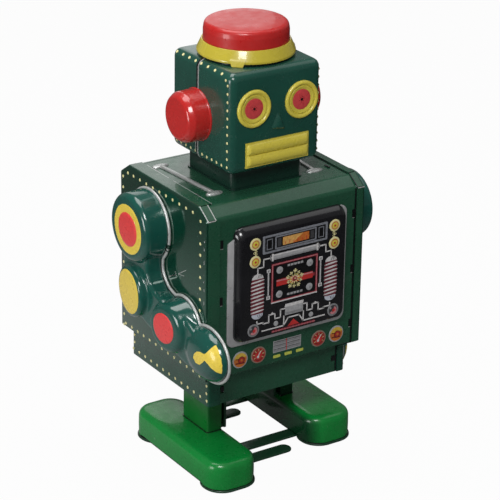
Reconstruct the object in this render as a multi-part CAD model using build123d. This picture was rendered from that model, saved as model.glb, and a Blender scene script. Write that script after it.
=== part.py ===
from build123d import *
import os
from math import acos, atan2, cos, hypot, pi, radians, sin, sqrt, tan

# Clockwork walking robot in lithographed tinplate: box body and box head,
# pressed arm shells that rock on the sides, and two feet carried on a
# double-throw crankshaft turned by a spring motor.
# Millimetres, +Z up, the robot faces -Y and its own right hand is at -X.
# A side is a sign along X: -1 for the robot's right, +1 for its left.

os.makedirs("parts", exist_ok=True)

# ---------------------------------------------------------- shared dimensions
T = 0.4                      # tinplate thickness
GAP = 0.05                   # fitting gap between lapped sheets
RUN = 0.05                   # running clearance on radius
PRESS = 0.02                 # clearance on radius of a fixed fit
SIDES = ((-1, "right"), (1, "left"))

BODY_W = 54.0                # body width over the side panels
BODY_D = 47.4                # body depth
BODY_TOP = 85.5

# Places in the mechanism are (y, z)
CRANK = (0.0, 44.0)          # driven crankshaft
IDLER_Z = 62.0               # idle crankshaft above it
CRANK_Y, CRANK_Z = CRANK
THROW = 4.5                  # crank throw
CRANK_PIN_R = 1.25
ARBOR = (11.0, 34.5)         # winding arbor

ARM_PIVOT = (0.0, 57.0)
ARM_SWING = 52.0             # degrees
PIN_DOWN = THROW / sin(radians(ARM_SWING / 2))   # drive pin below the pivot

R_STRIPS = (-13.3, 14.4)     # y of the right foot's strips, at mid stroke
L_STRIPS = (-15.1, 12.2)     # y of the left foot's strips, at mid stroke

# Parts are drawn with the crankshaft at y = 0. The written origin is on the
# ground, in the middle of the right foot's rear strip.
SHIFT_Y = -(R_STRIPS[1] - THROW)


# ------------------------------------------------------------------- helpers
def box(x0, x1, y0, y1, z0, z1):
    middle = Pos((x0 + x1) / 2, (y0 + y1) / 2, (z0 + z1) / 2)
    return middle * Box(abs(x1 - x0), abs(y1 - y0), abs(z1 - z0))


def prism_x(sketch, x0, x1):
    """Sketch in (Y, Z) pushed from x0 to x1."""
    low, high = min(x0, x1), max(x0, x1)
    return extrude(Plane.YZ.offset(low) * sketch, amount=high - low)


def prism_y(sketch, y0, y1):
    """Sketch in (X, Z) pushed from y0 to y1."""
    low, high = min(y0, y1), max(y0, y1)
    return extrude(Plane.XZ.offset(-high) * sketch, amount=high - low)


def prism_z(sketch, z0, z1):
    return extrude(Plane.XY.offset(z0) * sketch, amount=z1 - z0)


def cyl_x(radius, x0, x1, y, z):
    return prism_x(Pos(y, z) * Circle(radius), x0, x1)


def cyl_y(radius, y0, y1, x, z):
    return prism_y(Pos(x, z) * Circle(radius), y0, y1)


def cone_x(y, z, r0, r1, x0, x1):
    """Frustum along X, radius r0 at x0 and r1 at x1."""
    base = Plane.YZ.offset(x0) * Pos(y, z) * Circle(r0)
    end = Plane.YZ.offset(x1) * Pos(y, z) * Circle(r1)
    return Solid.make_loft([base.face().outer_wire(), end.face().outer_wire()], True)


def poly(*pts):
    """Polygon, always wound the same way so that it extrudes the same way."""
    area = sum(a[0] * b[1] - b[0] * a[1] for a, b in zip(pts, pts[1:] + pts[:1]))
    return Polygon(*(pts if area > 0 else pts[::-1]), align=None)


def rounded_rect(x0, x1, y0, y1, radius):
    middle = Pos((x0 + x1) / 2, (y0 + y1) / 2)
    return middle * RectangleRounded(x1 - x0, y1 - y0, radius)


def polar(centre, radius, angle):
    return (centre[0] + radius * cos(angle), centre[1] + radius * sin(angle))


def direction(start, end):
    return atan2(end[1] - start[1], end[0] - start[0])


def bar(start, end, half_width):
    """Straight bar in the sketch plane, square across both ends."""
    dy, dz = end[0] - start[0], end[1] - start[1]
    length = hypot(dy, dz)
    wy, wz = -dz / length * half_width, dy / length * half_width
    return poly(
        (start[0] + wy, start[1] + wz),
        (start[0] - wy, start[1] - wz),
        (end[0] - wy, end[1] - wz),
        (end[0] + wy, end[1] + wz),
    )


def save(name, *shapes):
    """Write one node; several shapes stay separate solids of that node."""
    solids = []
    for shape in shapes:
        solids.extend(q.moved(Location((0, SHIFT_Y, 0))) for q in shape.solids())
    node = solids[0] if len(solids) == 1 else Compound(children=solids)
    export_step(node, "parts/" + name + ".step")


# -------------------------------------------------------------- body casing
BODY_LOW = 33.2              # where the wide part of the body ends
SKIRT_TOP = 31.6
SKIRT_LOW = 23.0
SKIRT_X = 24.0               # half width of the skirt
SKIRT_Y0, SKIRT_Y1 = -20.6, 22.3
CHAM_Y, CHAM_Z = 4.6, 3.2    # chamfer along the top front and top rear edges
FLANGE = 4.5                 # width of the side panels' bent flanges
FLANGE_X = BODY_W / 2 - FLANGE
TONGUE_Z = (74.4, 57.0, 39.6)
TONGUE_L = 2.4               # tongue length along Y
TONGUE_HALF_H = 0.8
ARM_SLOT_R = 1.5             # half width of the drive pin's slot
ARM_SLOT_STEPS = 12
BEAD_X, BEAD_Y = 19.3, -0.3
BEAD_Z = BODY_TOP - T - GAP + 0.15
BEAD_H = 0.7
FAR, UNDER, OVER = 30, 20, 90    # cutting boxes reach past the body: x and y, low z, high z


def body_volume(inset):
    """The body's outer volume, inset all round and on top."""
    half_x, half_y = BODY_W / 2 - inset, BODY_D / 2 - inset
    top = BODY_TOP - inset
    # the chamfer's ends move too, so that its sheet stays near full thickness
    cham_shift = inset * 0.42
    main = prism_x(
        poly(
            (-half_y, BODY_LOW),
            (half_y, BODY_LOW),
            (half_y, BODY_TOP - CHAM_Z - cham_shift),
            (half_y - CHAM_Y + cham_shift, top),
            (-half_y + CHAM_Y - cham_shift, top),
            (-half_y, BODY_TOP - CHAM_Z - cham_shift),
        ),
        -half_x,
        half_x,
    )
    skirt_x = SKIRT_X - inset
    y0, y1 = SKIRT_Y0 + inset, SKIRT_Y1 - inset
    wide = rect_wire(half_x, -half_y, half_y, BODY_LOW)
    narrow = rect_wire(skirt_x, y0, y1, SKIRT_TOP)
    jog = Solid.make_loft([narrow, wide], True)
    # inset volumes run 5 mm lower, which leaves the sheets open below
    skirt = box(-skirt_x, skirt_x, y0, y1, SKIRT_LOW - 5 * (inset > 0), SKIRT_TOP)
    return main + jog + skirt


def rect_wire(half_x, y0, y1, z):
    corners = [(-half_x, y0, z), (half_x, y0, z), (half_x, y1, z), (-half_x, y1, z)]
    return Wire.make_polygon(corners, close=True)


def side_panel(side_sheet):
    """The left panel, complete but for the arbor hole."""
    split_z = SKIRT_TOP + 0.9
    keep = box(FLANGE_X, FAR, -FAR, FAR, split_z, OVER)
    keep += box(SKIRT_X - 4.0, FAR, -FAR, FAR, UNDER, split_z)
    panel = side_sheet & keep
    # bent-over tongues that pass through the front and rear sheets
    half_d = BODY_D / 2
    for z in TONGUE_Z:
        for y0, y1 in ((-half_d, -half_d + TONGUE_L), (half_d - TONGUE_L, half_d)):
            panel += box(
                FLANGE_X - 0.35, FLANGE_X + 0.15, y0, y1, z - TONGUE_HALF_H, z + TONGUE_HALF_H
            )
    # pivot hole and the drive pin's curved slot, one degree over at each end
    panel -= cyl_x(1.52, 25, 29, *ARM_PIVOT)
    reach = ARM_SWING / 2 + 1
    slot = [
        polar(ARM_PIVOT, PIN_DOWN, radians(-90 - reach + 2 * reach * i / ARM_SLOT_STEPS))
        for i in range(ARM_SLOT_STEPS + 1)
    ]
    for point in slot:
        panel -= cyl_x(ARM_SLOT_R, 25, 29, *point)
    for start, end in zip(slot, slot[1:]):
        panel -= prism_x(bar(start, end, ARM_SLOT_R), 25, 29)
    return panel


def core_halves():
    """Front shell, with the top in the same bent sheet, and rear cover."""
    core = body_volume(T + GAP) - body_volume(2 * T + GAP)
    core -= box(-FAR, FAR, -19.4, 19.4, UNDER, 80)
    # trimmed to fit between the side panels
    body_x = BODY_W / 2 - 2 * T - GAP
    skirt_x = SKIRT_X - 2 * T - GAP
    split_z = SKIRT_TOP + 0.8
    between = box(-body_x, body_x, -FAR, FAR, split_z, OVER)
    between += box(-skirt_x, skirt_x, -FAR, FAR, UNDER, split_z)
    cham_y = BODY_D / 2 - CHAM_Y
    front_keep = box(-FAR, FAR, -FAR, 0, UNDER, OVER)
    front_keep += box(-FAR, FAR, -0.5, cham_y - 0.7, 80, OVER)
    rear_keep = box(-FAR, FAR, 0, FAR, UNDER, 79.9)
    rear_keep += box(-FAR, FAR, cham_y - 0.6, FAR, 79.8, OVER)
    front = core & between & front_keep
    rear = core & between & rear_keep
    # holes for the side panels' tongues
    for z in TONGUE_Z:
        for s in (-1, 1):
            x = s * (FLANGE_X - 0.35)
            front -= box(x - 0.95, x + 0.75, -FAR, -15, z - 1.25, z + 1.25)
            rear -= box(x - 0.95, x + 0.75, 15, FAR, z - 1.25, z + 1.25)
    # small slot low on the left of the front
    front -= box(18.6, 19.7, -25, -15, 26.4, 28.4)
    # hole in the top for the neck's tabs and a pair of raised beads beside it
    front -= box(-8, 8, HEAD_CY - 8, HEAD_CY + 8, 80, OVER)
    for s in (-1, 1):
        front += Pos(s * BEAD_X, BEAD_Y, BEAD_Z) * Box(1.1, 26.0, BEAD_H)
        for y in (-14.2, 13.2):
            front += Pos(s * BEAD_X, y, BEAD_Z) * Box(4.4, 1.8, BEAD_H)
    return front, rear


# head depth, also needed for the neck hole in the body's top
HEAD_Y0, HEAD_Y1 = -17.0, 14.6
HEAD_CY = (HEAD_Y0 + HEAD_Y1) / 2

front_shell, rear_cover = core_halves()
save("front_shell", front_shell)
save("rear_cover", rear_cover)
panel = side_panel(body_volume(0) - body_volume(T))
save("right_side_panel", mirror(panel, about=Plane.YZ))
# the winding arbor comes out through the left panel
save("left_side_panel", panel - cyl_x(2.6, 25, 29, *ARBOR))

# --------------------------------------------------------------- chest panel
CHEST_X0, CHEST_X1, CHEST_Z0, CHEST_Z1 = -19.9, 20.8, 41.9, 78.6
PANE_X0, PANE_X1, PANE_Z0, PANE_Z1 = -17.8, 19.6, 43.3, 78.2
PANE_RISE = 2.7
CHEST_R, PANE_R = 2.6, 3.0   # corner radii
CHEST_BACK = -BODY_D / 2 + T     # back face, just in front of the front sheet


def chest_panel():
    """Pressed tray: a flat margin round a raised, hollow pane."""
    outline = rounded_rect(CHEST_X0, CHEST_X1, CHEST_Z0, CHEST_Z1, CHEST_R)
    margin = prism_y(outline, CHEST_BACK - T, CHEST_BACK)
    pane_front = CHEST_BACK - PANE_RISE
    outline = rounded_rect(PANE_X0, PANE_X1, PANE_Z0, PANE_Z1, PANE_R)
    pane = prism_y(outline, pane_front, CHEST_BACK - T)
    pane = fillet(pane.faces().sort_by(Axis.Y)[0].edges(), 0.9)
    outline = rounded_rect(PANE_X0 + T, PANE_X1 - T, PANE_Z0 + T, PANE_Z1 - T, PANE_R - T)
    return margin + pane - prism_y(outline, pane_front + T, CHEST_BACK + 1)


save("chest_panel", chest_panel())

# -------------------------------------------------------------- neck and head
HEAD_X = 15.3                # half width
HEAD_Z0, HEAD_Z1 = 91.1, 120.9
HEAD_R = 2.4                 # edge radius
SEAM_Y = 0.0
SEAM_HALF = 0.06             # half the gap between the two head shells
NECK_HALF = 23.8 / 2         # neck collar, outside
NECK_R = 1.4
NECK_Z0 = BODY_TOP + 0.3
TAB_X = 7.2                  # inner face of the collar's tabs
TAB_HALF_Y = 4
FACE_X = 0.4                 # pressed features sit this far off the middle
EYE_X, EYE_Z = 8.0, 110.1
EYE_R, DISH_R, PUPIL_R = 5.55, 4.2, 3.0
FACE_SINK = HEAD_Y0 + 0.2    # how deep the pressed features root in the face
MOUTH_HALF, MOUTH_Z0, MOUTH_Z1 = 10.6, 92.8, 100.2
LIP_Z, LIP_R, LIP_L = (94.8, 98.2), 0.9, 19.6
NOSE = ((-1.4, 103.0), (3.0, 102.4), (0.6, 107.5))   # x, z
EAR_Y, EAR_Z = 0.2, 104.7
# radius, height outwards from the head's side
EAR_PROFILE = (
    (0, 0), (7.6, 0), (7.5, 3.0), (7.3, 5.5), (6.7, 6.5), (5.7, 7.0), (0, 7.0),
    (0, 6.6), (5.5, 6.6), (6.4, 6.1), (6.9, 5.3), (7.2, T), (0, T),
)


def neck_collar():
    collar = box(
        -NECK_HALF, NECK_HALF, HEAD_CY - NECK_HALF, HEAD_CY + NECK_HALF, NECK_Z0, HEAD_Z0 - GAP
    )
    collar = fillet(collar.edges().filter_by(Axis.Z), NECK_R)
    inner = NECK_HALF - T
    bore = box(-inner, inner, HEAD_CY - inner, HEAD_CY + inner, 80, 95)
    collar -= fillet(bore.edges().filter_by(Axis.Z), NECK_R - T)
    # tabs bent down through the body top, each with its foot out to the wall
    y0, y1 = HEAD_CY - TAB_HALF_Y, HEAD_CY + TAB_HALF_Y
    for s in (-1, 1):
        collar += box(s * TAB_X, s * (TAB_X + T), y0, y1, BODY_TOP - 2.2, NECK_Z0 + T)
        collar += box(s * TAB_X, s * (NECK_HALF - 0.1), y0, y1, NECK_Z0, NECK_Z0 + T)
    return collar


def head_box(inset):
    solid = box(
        -HEAD_X + inset, HEAD_X - inset, HEAD_Y0 + inset, HEAD_Y1 - inset,
        HEAD_Z0 + inset, HEAD_Z1 - inset,
    )
    return fillet(solid.edges(), HEAD_R - inset)


def add_face(front):
    for s in (-1, 1):
        # eye: a raised dished ring with a raised pupil
        x = FACE_X + s * EYE_X
        ring = cyl_y(EYE_R, HEAD_Y0 - 0.7, FACE_SINK, x, EYE_Z)
        ring = fillet(ring.faces().sort_by(Axis.Y)[0].edges(), 0.5)
        ring -= cyl_y(DISH_R, HEAD_Y0 - 2, HEAD_Y0 - 0.35, x, EYE_Z)
        pupil = cyl_y(PUPIL_R, HEAD_Y0 - 0.6, HEAD_Y0 - 0.1, x, EYE_Z)
        front += ring + pupil
    mouth = rounded_rect(FACE_X - MOUTH_HALF, FACE_X + MOUTH_HALF, MOUTH_Z0, MOUTH_Z1, 0.4)
    front += prism_y(mouth, HEAD_Y0 - 0.45, FACE_SINK)
    for z in LIP_Z:
        front += Pos(FACE_X, HEAD_Y0 - 0.3, z) * Rot(0, 90, 0) * Cylinder(LIP_R, LIP_L)
    front += prism_y(poly(*NOSE), HEAD_Y0 - 0.6, FACE_SINK)
    return front


def ear_cap(s):
    cup = revolve(Plane.XZ * poly(*EAR_PROFILE), Axis.Z)
    return Pos(s * (HEAD_X + GAP), EAR_Y, EAR_Z) * Rot(0, s * 90, 0) * cup


save("neck_collar", neck_collar())
head = head_box(0) - head_box(T)
save("head_front_shell", add_face(head & box(-20, 20, -30, SEAM_Y - SEAM_HALF, 80, 130)))
save("head_rear_shell", head & box(-20, 20, SEAM_Y + SEAM_HALF, 30, 80, 130))
for s, side in SIDES:
    save(side + "_ear_cap", ear_cap(s))

# ---------------------------------------------------------- lamp on the head
LAMP_Y = -1.1
LAMP_R = 12.3
LAMP_TOP = 130.7
LAMP_LOW = 121.05
# radius, z of the sloping retaining ring
RING_PROFILE = (
    (12.4, 121.0), (13.2, 121.0), (13.2, 121.5), (14.0, 121.8), (13.8, 122.6), (13.5, 123.4),
    (12.7, 125.3), (12.36, 125.1), (13.05, 123.3), (13.2, 122.3), (12.4, 121.9),
)
RING_TAB_ANGLES = (-43, 77, 197)
# radius, z of the hollow cap: outside from the middle, then back inside
CAP_PROFILE = (
    (0, LAMP_TOP), (10.1, LAMP_TOP), (11.2, LAMP_TOP - 0.35), (11.95, LAMP_TOP - 1.1),
    (LAMP_R, LAMP_TOP - 2.2), (LAMP_R, LAMP_LOW), (LAMP_R - T, LAMP_LOW),
    (LAMP_R - T, LAMP_TOP - 2.3), (11.6, LAMP_TOP - 1.3), (11.0, LAMP_TOP - 0.75),
    (10.1, LAMP_TOP - T), (0, LAMP_TOP - T),
)


def turned_lamp(profile):
    return Pos(0, LAMP_Y, 0) * revolve(Plane.XZ * poly(*profile), Axis.Z)


ring = turned_lamp(RING_PROFILE)
for angle in RING_TAB_ANGLES:
    ring += Pos(0, LAMP_Y, 0) * Rot(0, 0, angle) * Pos(0, -13.95, 121.7) * Box(3.6, 0.5, 1.1)
save("lamp_ring", ring)
save("lamp_cap", turned_lamp(CAP_PROFILE))

# ---------------------------------------------------------------- gear train
MODULE = 0.5
TOOTH_THINNING = 0.09        # taken off each tooth at the pitch circle
ARBOR_R = 1.8
ARBOR_END_R = 1.2            # right end, in its plate
SHAFT_R = 1.5                # both crankshafts
INTER_R = 0.9
GOVERNOR_R = 0.7
PALLET_PIN_R = 0.55
# Gears: teeth, addendum and dedendum in modules, x from, x to, bore radius
GREAT_WHEEL = (40, 0.62, 1.2, -7.6, -6.6, ARBOR_R + RUN)
INTER_PINION = (10, 1.0, 1.05, -8.2, -6.1, INTER_R + PRESS)
INTER_WHEEL = (24, 0.75, 1.2, -5.3, -4.4, INTER_R + PRESS)
CRANK_PINION = (12, 1.0, 1.05, -5.8, -3.9, SHAFT_R + PRESS)
DRIVE_WHEEL = (24, 0.5, 1.2, 6.0, 7.0, SHAFT_R + PRESS)
GOVERNOR_PINION = (8, 0.9, 1.05, 5.6, 7.4, GOVERNOR_R + PRESS)


def mesh_distance(one, other):
    return (one[0] + other[0]) * MODULE / 2


def half_pitch(spec):
    return pi / spec[0]


def gear(spec, phase, centre):
    """Involute gear; the middle of one tooth is at angle phase."""
    teeth, addendum, dedendum, x0, x1, bore = spec
    pressure = radians(20)
    pitch_r = teeth * MODULE / 2
    base_r = pitch_r * cos(pressure)
    tip_r = pitch_r + addendum * MODULE
    root_r = pitch_r - dedendum * MODULE
    half_at_pitch = pi / (2 * teeth) - TOOTH_THINNING / (2 * pitch_r)

    def involute(angle):
        return tan(angle) - angle

    def half_tooth(radius):
        if radius <= base_r:
            return half_at_pitch + involute(pressure)
        return half_at_pitch + involute(pressure) - involute(acos(base_r / radius))

    start_r = max(base_r, root_r)
    radii = [root_r] + ([base_r] if base_r > root_r else [])
    radii += [start_r + (tip_r - start_r) * k / 4 for k in range(1, 5)]
    outline = []
    for i in range(teeth):
        middle = phase + 2 * pi * i / teeth
        outline += [polar((0, 0), r, middle - half_tooth(r)) for r in radii]
        outline += [polar((0, 0), r, middle + half_tooth(r)) for r in reversed(radii)]
    blank = prism_x(Pos(*centre) * poly(*outline), x0, x1)
    return blank - cyl_x(bore, x0 - 1, x1 + 1, *centre)


def saw_teeth(centre, teeth, tip_r, root_r, root_angle):
    """Pointed teeth, each tip followed by a root point root_angle further on."""
    outline = []
    for i in range(teeth):
        angle = 2 * pi * i / teeth
        outline.append(polar(centre, tip_r, angle))
        outline.append(polar(centre, root_r, angle + root_angle))
    return poly(*outline)


def intermediate_centre():
    """Where the meshing distances from the arbor and the crankshaft meet."""
    from_arbor = mesh_distance(GREAT_WHEEL, INTER_PINION)
    from_crank = mesh_distance(INTER_WHEEL, CRANK_PINION)
    dy, dz = ARBOR[0] - CRANK_Y, ARBOR[1] - CRANK_Z
    span = sqrt(dy * dy + dz * dz)
    along = (from_crank**2 - from_arbor**2 + span * span) / (2 * span)
    across = sqrt(from_crank**2 - along * along)
    return (
        CRANK_Y + along * dy / span - across * dz / span,
        CRANK_Z + along * dz / span + across * dy / span,
    )


INTER = intermediate_centre()
GOVERNOR_ANGLE = radians(120)    # governor's direction from the crankshaft
GOVERNOR = polar(CRANK, mesh_distance(DRIVE_WHEEL, GOVERNOR_PINION), GOVERNOR_ANGLE)
PALLET = (GOVERNOR[0] - 8.0, GOVERNOR[1] + 5.0)

# ------------------------------------------- winding arbor, ratchet and spring
SQUARE_X0, SQUARE_X1 = 35.0, 37.6    # squared end of the arbor
SQUARE_HALF = 1.1
KEY_HALF_T = 0.6
RATCHET_X = (-6.4, -5.6)
WEB_HOLE_R, WEB_HOLE_AT = 1.7, 6.3   # holes in the great wheel
CLICK_AT = 7.2               # click's stud, from the arbor
CLICK_BOSS_R = 1.3
# offsets from the stud: away from the arbor, along the rim
CLICK_OUTLINE = ((1.3, 0), (0.9, 2.4), (-3.1, 3.5), (-3.6, 2.95), (-1.4, 1.6), (-1.2, 0))
SPRING_TURNS, SPRING_STEPS = 6.5, 150
SPRING_R0, SPRING_R1 = 2.4, 9.1
SPRING_T = 0.3

to_inter = direction(ARBOR, INTER)
CLICK_ANGLE = to_inter + pi
CLICK_STUD = polar(ARBOR, CLICK_AT, CLICK_ANGLE)


def square_x(x0, x1, half):
    """Square bar along the arbor's axis."""
    y, z = ARBOR
    return box(x0, x1, y - half, y + half, z - half, z + half)


def winding_key():
    y, z = ARBOR
    key = cyl_x(2.6, 35.1, 39.5, y, z) - square_x(34, SQUARE_X1 + 0.1, SQUARE_HALF + 0.03)
    outline = (
        Pos(42.2, z + 5.0) * Ellipse(4.0, 5.2)
        + Pos(42.2, z - 5.0) * Ellipse(4.0, 5.2)
        + Pos(40.6, z) * Rectangle(3.4, 5.0)
    )
    wings = prism_y(outline, y - KEY_HALF_T, y + KEY_HALF_T)
    for s in (-1, 1):
        wings -= cyl_y(2.0, y - 2, y + 2, 42.4, z + s * 5.4)
    return key + wings


def great_wheel():
    wheel = gear(GREAT_WHEEL, to_inter + half_pitch(GREAT_WHEEL), ARBOR)
    # five places round the web: four holes, and the click's stud at place 2
    for k in (0, 1, 3, 4):
        angle = to_inter + 2 * pi * (k + 0.5) / 5
        wheel -= cyl_x(WEB_HOLE_R, -9, -6, *polar(ARBOR, WEB_HOLE_AT, angle))
    return wheel + cyl_x(0.7, -6.7, -5.5, *CLICK_STUD)


def click_pawl():
    """Lies along the ratchet's rim, its tip just clear of the teeth."""
    outline = [
        polar(polar(CLICK_STUD, out, CLICK_ANGLE), along, CLICK_ANGLE + pi / 2)
        for out, along in CLICK_OUTLINE
    ]
    blank = prism_x(poly(*outline) + Pos(*CLICK_STUD) * Circle(CLICK_BOSS_R), -6.45, -5.75)
    return blank - cyl_x(0.75, -7, -5, *CLICK_STUD)


def mainspring():
    """A wound strip between the plates."""
    outside, inside = [], []
    for i in range(SPRING_STEPS + 1):
        angle = 2 * pi * SPRING_TURNS * i / SPRING_STEPS
        radius = SPRING_R0 + (SPRING_R1 - SPRING_R0) * i / SPRING_STEPS
        outside.append(polar(ARBOR, radius, angle))
        inside.append(polar(ARBOR, radius - SPRING_T, angle))
    return prism_x(poly(*(outside + inside[::-1])), -3.6, 4.4)


arbor = cyl_x(ARBOR_END_R, -9.5, -8.0, *ARBOR) + cyl_x(ARBOR_R, -8.0, SQUARE_X0, *ARBOR)
arbor += square_x(SQUARE_X0, SQUARE_X1, SQUARE_HALF)
save("winding_arbor", arbor)
save("winding_key", winding_key())
ratchet = prism_x(saw_teeth(ARBOR, 12, 4.4, 3.5, 0.06), *RATCHET_X)
save("ratchet_wheel", ratchet - cyl_x(ARBOR_R + PRESS, -7, -5, *ARBOR))
save("great_wheel", great_wheel())
save("click_pawl", click_pawl())
save("mainspring", mainspring())

# -------------------------------------------------------- intermediate arbor
save("intermediate_arbor", cyl_x(INTER_R, -9.4, 9.4, *INTER))
save("intermediate_pinion", gear(INTER_PINION, direction(INTER, ARBOR), INTER))
wheel_phase = direction(INTER, CRANK) + half_pitch(INTER_WHEEL)
save("intermediate_wheel", gear(INTER_WHEEL, wheel_phase, INTER))

# --------------------------------------------------------------- crankshafts
CRANK_DISC_R = 6.2


def crank(s, z):
    """Crank disc and its pin. The right crank stands forward, the left one back."""
    solid = cyl_x(CRANK_DISC_R, s * 9.95, s * 10.9, CRANK_Y, z)
    solid += cyl_x(CRANK_PIN_R, s * 10.8, s * 19.3, CRANK_Y + s * THROW, z)
    # hole opposite the pin
    return solid - cyl_x(1.6, s * 9.0, s * 12, CRANK_Y - s * 3.4, z)


def pin_cap(s, z):
    y = CRANK_Y + s * THROW
    return cyl_x(2.3, s * 18.6, s * 19.1, y, z) - cyl_x(CRANK_PIN_R + PRESS, s * 18, s * 20, y, z)


save("crank_pinion", gear(CRANK_PINION, direction(CRANK, INTER), CRANK))
save("governor_drive_wheel", gear(DRIVE_WHEEL, GOVERNOR_ANGLE, CRANK))
for name, crank_name, z in (("crank", "crank", CRANK_Z), ("idler", "idler_crank", IDLER_Z)):
    save(name + "_shaft", cyl_x(SHAFT_R, -9.9, 9.9, CRANK_Y, z))
    for s, side in SIDES:
        save(side + "_" + crank_name, crank(s, z))
    save(name + "_pin_caps", *[pin_cap(s, z) for s, side in SIDES])

# ------------------------------- governor: pinion, star wheel, rocking pallet
STAR_TEETH = 12
ESCAPE_X = (1.0, 1.8)        # star wheel and pallet
PALLET_TIP_R = 5.3           # pallet tips, from the governor's axis
PALLET_TAIL = 3.6


def governor_pallet():
    outline = Pos(*PALLET) * Circle(1.6)
    to_governor = direction(PALLET, GOVERNOR)
    for s in (-1, 1):
        tip = polar(GOVERNOR, -PALLET_TIP_R, to_governor - s * radians(58))
        outline += bar(PALLET, tip, 0.6)
    # tail with a round weight
    tail = polar(PALLET, -PALLET_TAIL, to_governor)
    outline += Pos(*tail) * Circle(1.5)
    outline += bar(PALLET, tail, 0.7)
    hub = cyl_x(1.0, 0.4, 2.6, *PALLET)
    return prism_x(outline, *ESCAPE_X) + hub - cyl_x(PALLET_PIN_R + RUN, 0, 3, *PALLET)


save("governor_arbor", cyl_x(GOVERNOR_R, -9.4, 9.4, *GOVERNOR))
pinion_phase = GOVERNOR_ANGLE + pi + half_pitch(GOVERNOR_PINION)
save("governor_pinion", gear(GOVERNOR_PINION, pinion_phase, GOVERNOR))
star = prism_x(saw_teeth(GOVERNOR, STAR_TEETH, 4.0, 2.6, pi / STAR_TEETH * 0.7), *ESCAPE_X)
save("star_wheel", star - cyl_x(GOVERNOR_R + PRESS, 0, 3, *GOVERNOR))
save("governor_pallet", governor_pallet())
save("pallet_pin", cyl_x(PALLET_PIN_R, -9.55, 9.55, *PALLET))

# ---------------------------------------------------- motor plates and pillars
PLATE_IN, PLATE_OUT = 8.8, 9.6   # x of the plates' faces
PILLARS = ((-12.5, 31.0), (-13.5, 67.0), (13.0, 67.0), (0.5, 28.5))
PILLAR_R, PILLAR_END_R = 1.5, 0.9
# y, z
PLATE_OUTLINE = (
    (-14.5, 26.0), (17.5, 26.0), (19.0, 30.0), (16.0, 50.0), (14.5, 60.5), (22.6, 60.5),
    (22.6, 65.0), (15.5, 69.5), (-16.0, 69.5), (-22.6, 65.0), (-22.6, 60.5), (-16.5, 60.5),
    (-14.5, 40.0), (-22.6, 39.0), (-22.6, 35.5), (-14.5, 33.0),
)


def motor_plate(s):
    plate = prism_x(poly(*PLATE_OUTLINE), s * PLATE_IN, s * PLATE_OUT)
    plate = fillet(plate.edges().filter_by(Axis.X), 0.8)
    holes = [
        (SHAFT_R + RUN, CRANK),
        (SHAFT_R + RUN, (CRANK_Y, IDLER_Z)),
        ((ARBOR_R if s > 0 else ARBOR_END_R) + RUN, ARBOR),
        (INTER_R + RUN, INTER),
        (GOVERNOR_R + RUN, GOVERNOR),
        (PALLET_PIN_R + PRESS, PALLET),
    ]
    holes += [(PILLAR_END_R + PRESS, place) for place in PILLARS]
    holes.append((3.2, (6.5, 57.0)))
    for radius, place in holes:
        plate -= cyl_x(radius, 0, s * 12, *place)
    return plate


def pillar(y, z):
    half = PLATE_IN - 0.02
    return cyl_x(PILLAR_R, -half, half, y, z) + cyl_x(PILLAR_END_R, -9.85, 9.85, y, z)


for s, side in SIDES:
    save(side + "_motor_plate", motor_plate(s))
save("plate_pillars", *[pillar(*place) for place in PILLARS])

# ------------------------------------------- legs and feet, drawn at mid stroke
FOOT_X = 20.1
FOOT_HALF = 8.0
FOOT_Y0, FOOT_Y1 = -26.5, 20.6
FOOT_R = 5.6                 # corner radius in plan
FOOT_TOP = 9.07
SOLE_T = 0.7
STRIP_W = 4.5
STRIP_START = 18.0
STRIP_END = 6.9              # how far a strip reaches past the centre
LEG_Y0, LEG_Y1, LEG_YU = -7.0, 7.0, 3.0      # front, lower rear, upper rear
LEG_LOW = FOOT_TOP + GAP
LEG_NECK_Z, LEG_TOP = 28.0, 70.0
CHANNEL_X0, CHANNEL_X1 = 13.6, 18.4
WEB_IN = CHANNEL_X1 - T      # inner face of the channel's web
CLEAR_X = 13.0               # cuts start inwards of the channel
STRAP_X0, STRAP_X1 = 11.5, 12.3
FORK_X0, FORK_X1 = 22.6, 23.2
FORK_HALF_Y = 3.2
FORK_SEAT_X = CHANNEL_X1 + GAP
FORK_SLOT_HALF, FORK_SLOT_Z0, FORK_SLOT_Z1 = 1.35, 43.0, 54.2


def leg_profile(inset):
    front, rear, rear_up = LEG_Y0 + inset, LEG_Y1 - inset, LEG_YU - inset
    return poly(
        (front, LEG_LOW),
        (rear, LEG_LOW),
        (rear, LEG_NECK_Z - 2 - inset),
        (rear_up, LEG_NECK_Z + 1 - inset),
        (rear_up, LEG_TOP),
        (front, LEG_TOP),
    )


def foot_outline(s, grow_x, grow_y, grow_r):
    return rounded_rect(
        s * FOOT_X - FOOT_HALF - grow_x, s * FOOT_X + FOOT_HALF + grow_x,
        FOOT_Y0 - grow_y, FOOT_Y1 + grow_y, FOOT_R + grow_r,
    )


def leg_channel(s):
    channel = prism_x(leg_profile(0), s * CHANNEL_X0, s * CHANNEL_X1)
    channel -= prism_x(leg_profile(T), s * CLEAR_X, s * WEB_IN)
    channel -= box(s * CLEAR_X, s * WEB_IN, LEG_Y0 + T, LEG_Y1 - T, 9.0, 12.0)
    channel -= box(s * CLEAR_X, s * WEB_IN, LEG_Y0 + T, LEG_YU - T, 66.0, 71.0)
    for z in (CRANK_Z, IDLER_Z):
        channel -= cyl_x(CRANK_PIN_R + RUN, s * 13, s * 20, CRANK_Y, z)
    return channel


def leg_strap(s):
    strap = prism_x(leg_profile(0.6), s * STRAP_X0, s * STRAP_X1)
    for z in (CRANK_Z, IDLER_Z):
        strap -= cyl_x(CRANK_PIN_R + RUN, s * 11, s * 13, CRANK_Y, z)
    # turned outwards over the foot, towards the channel
    strap += box(s * STRAP_X0, s * 13.5, LEG_Y0 + 1.0, LEG_Y1 - 1.0, LEG_LOW, LEG_LOW + 0.8)
    return strap


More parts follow.
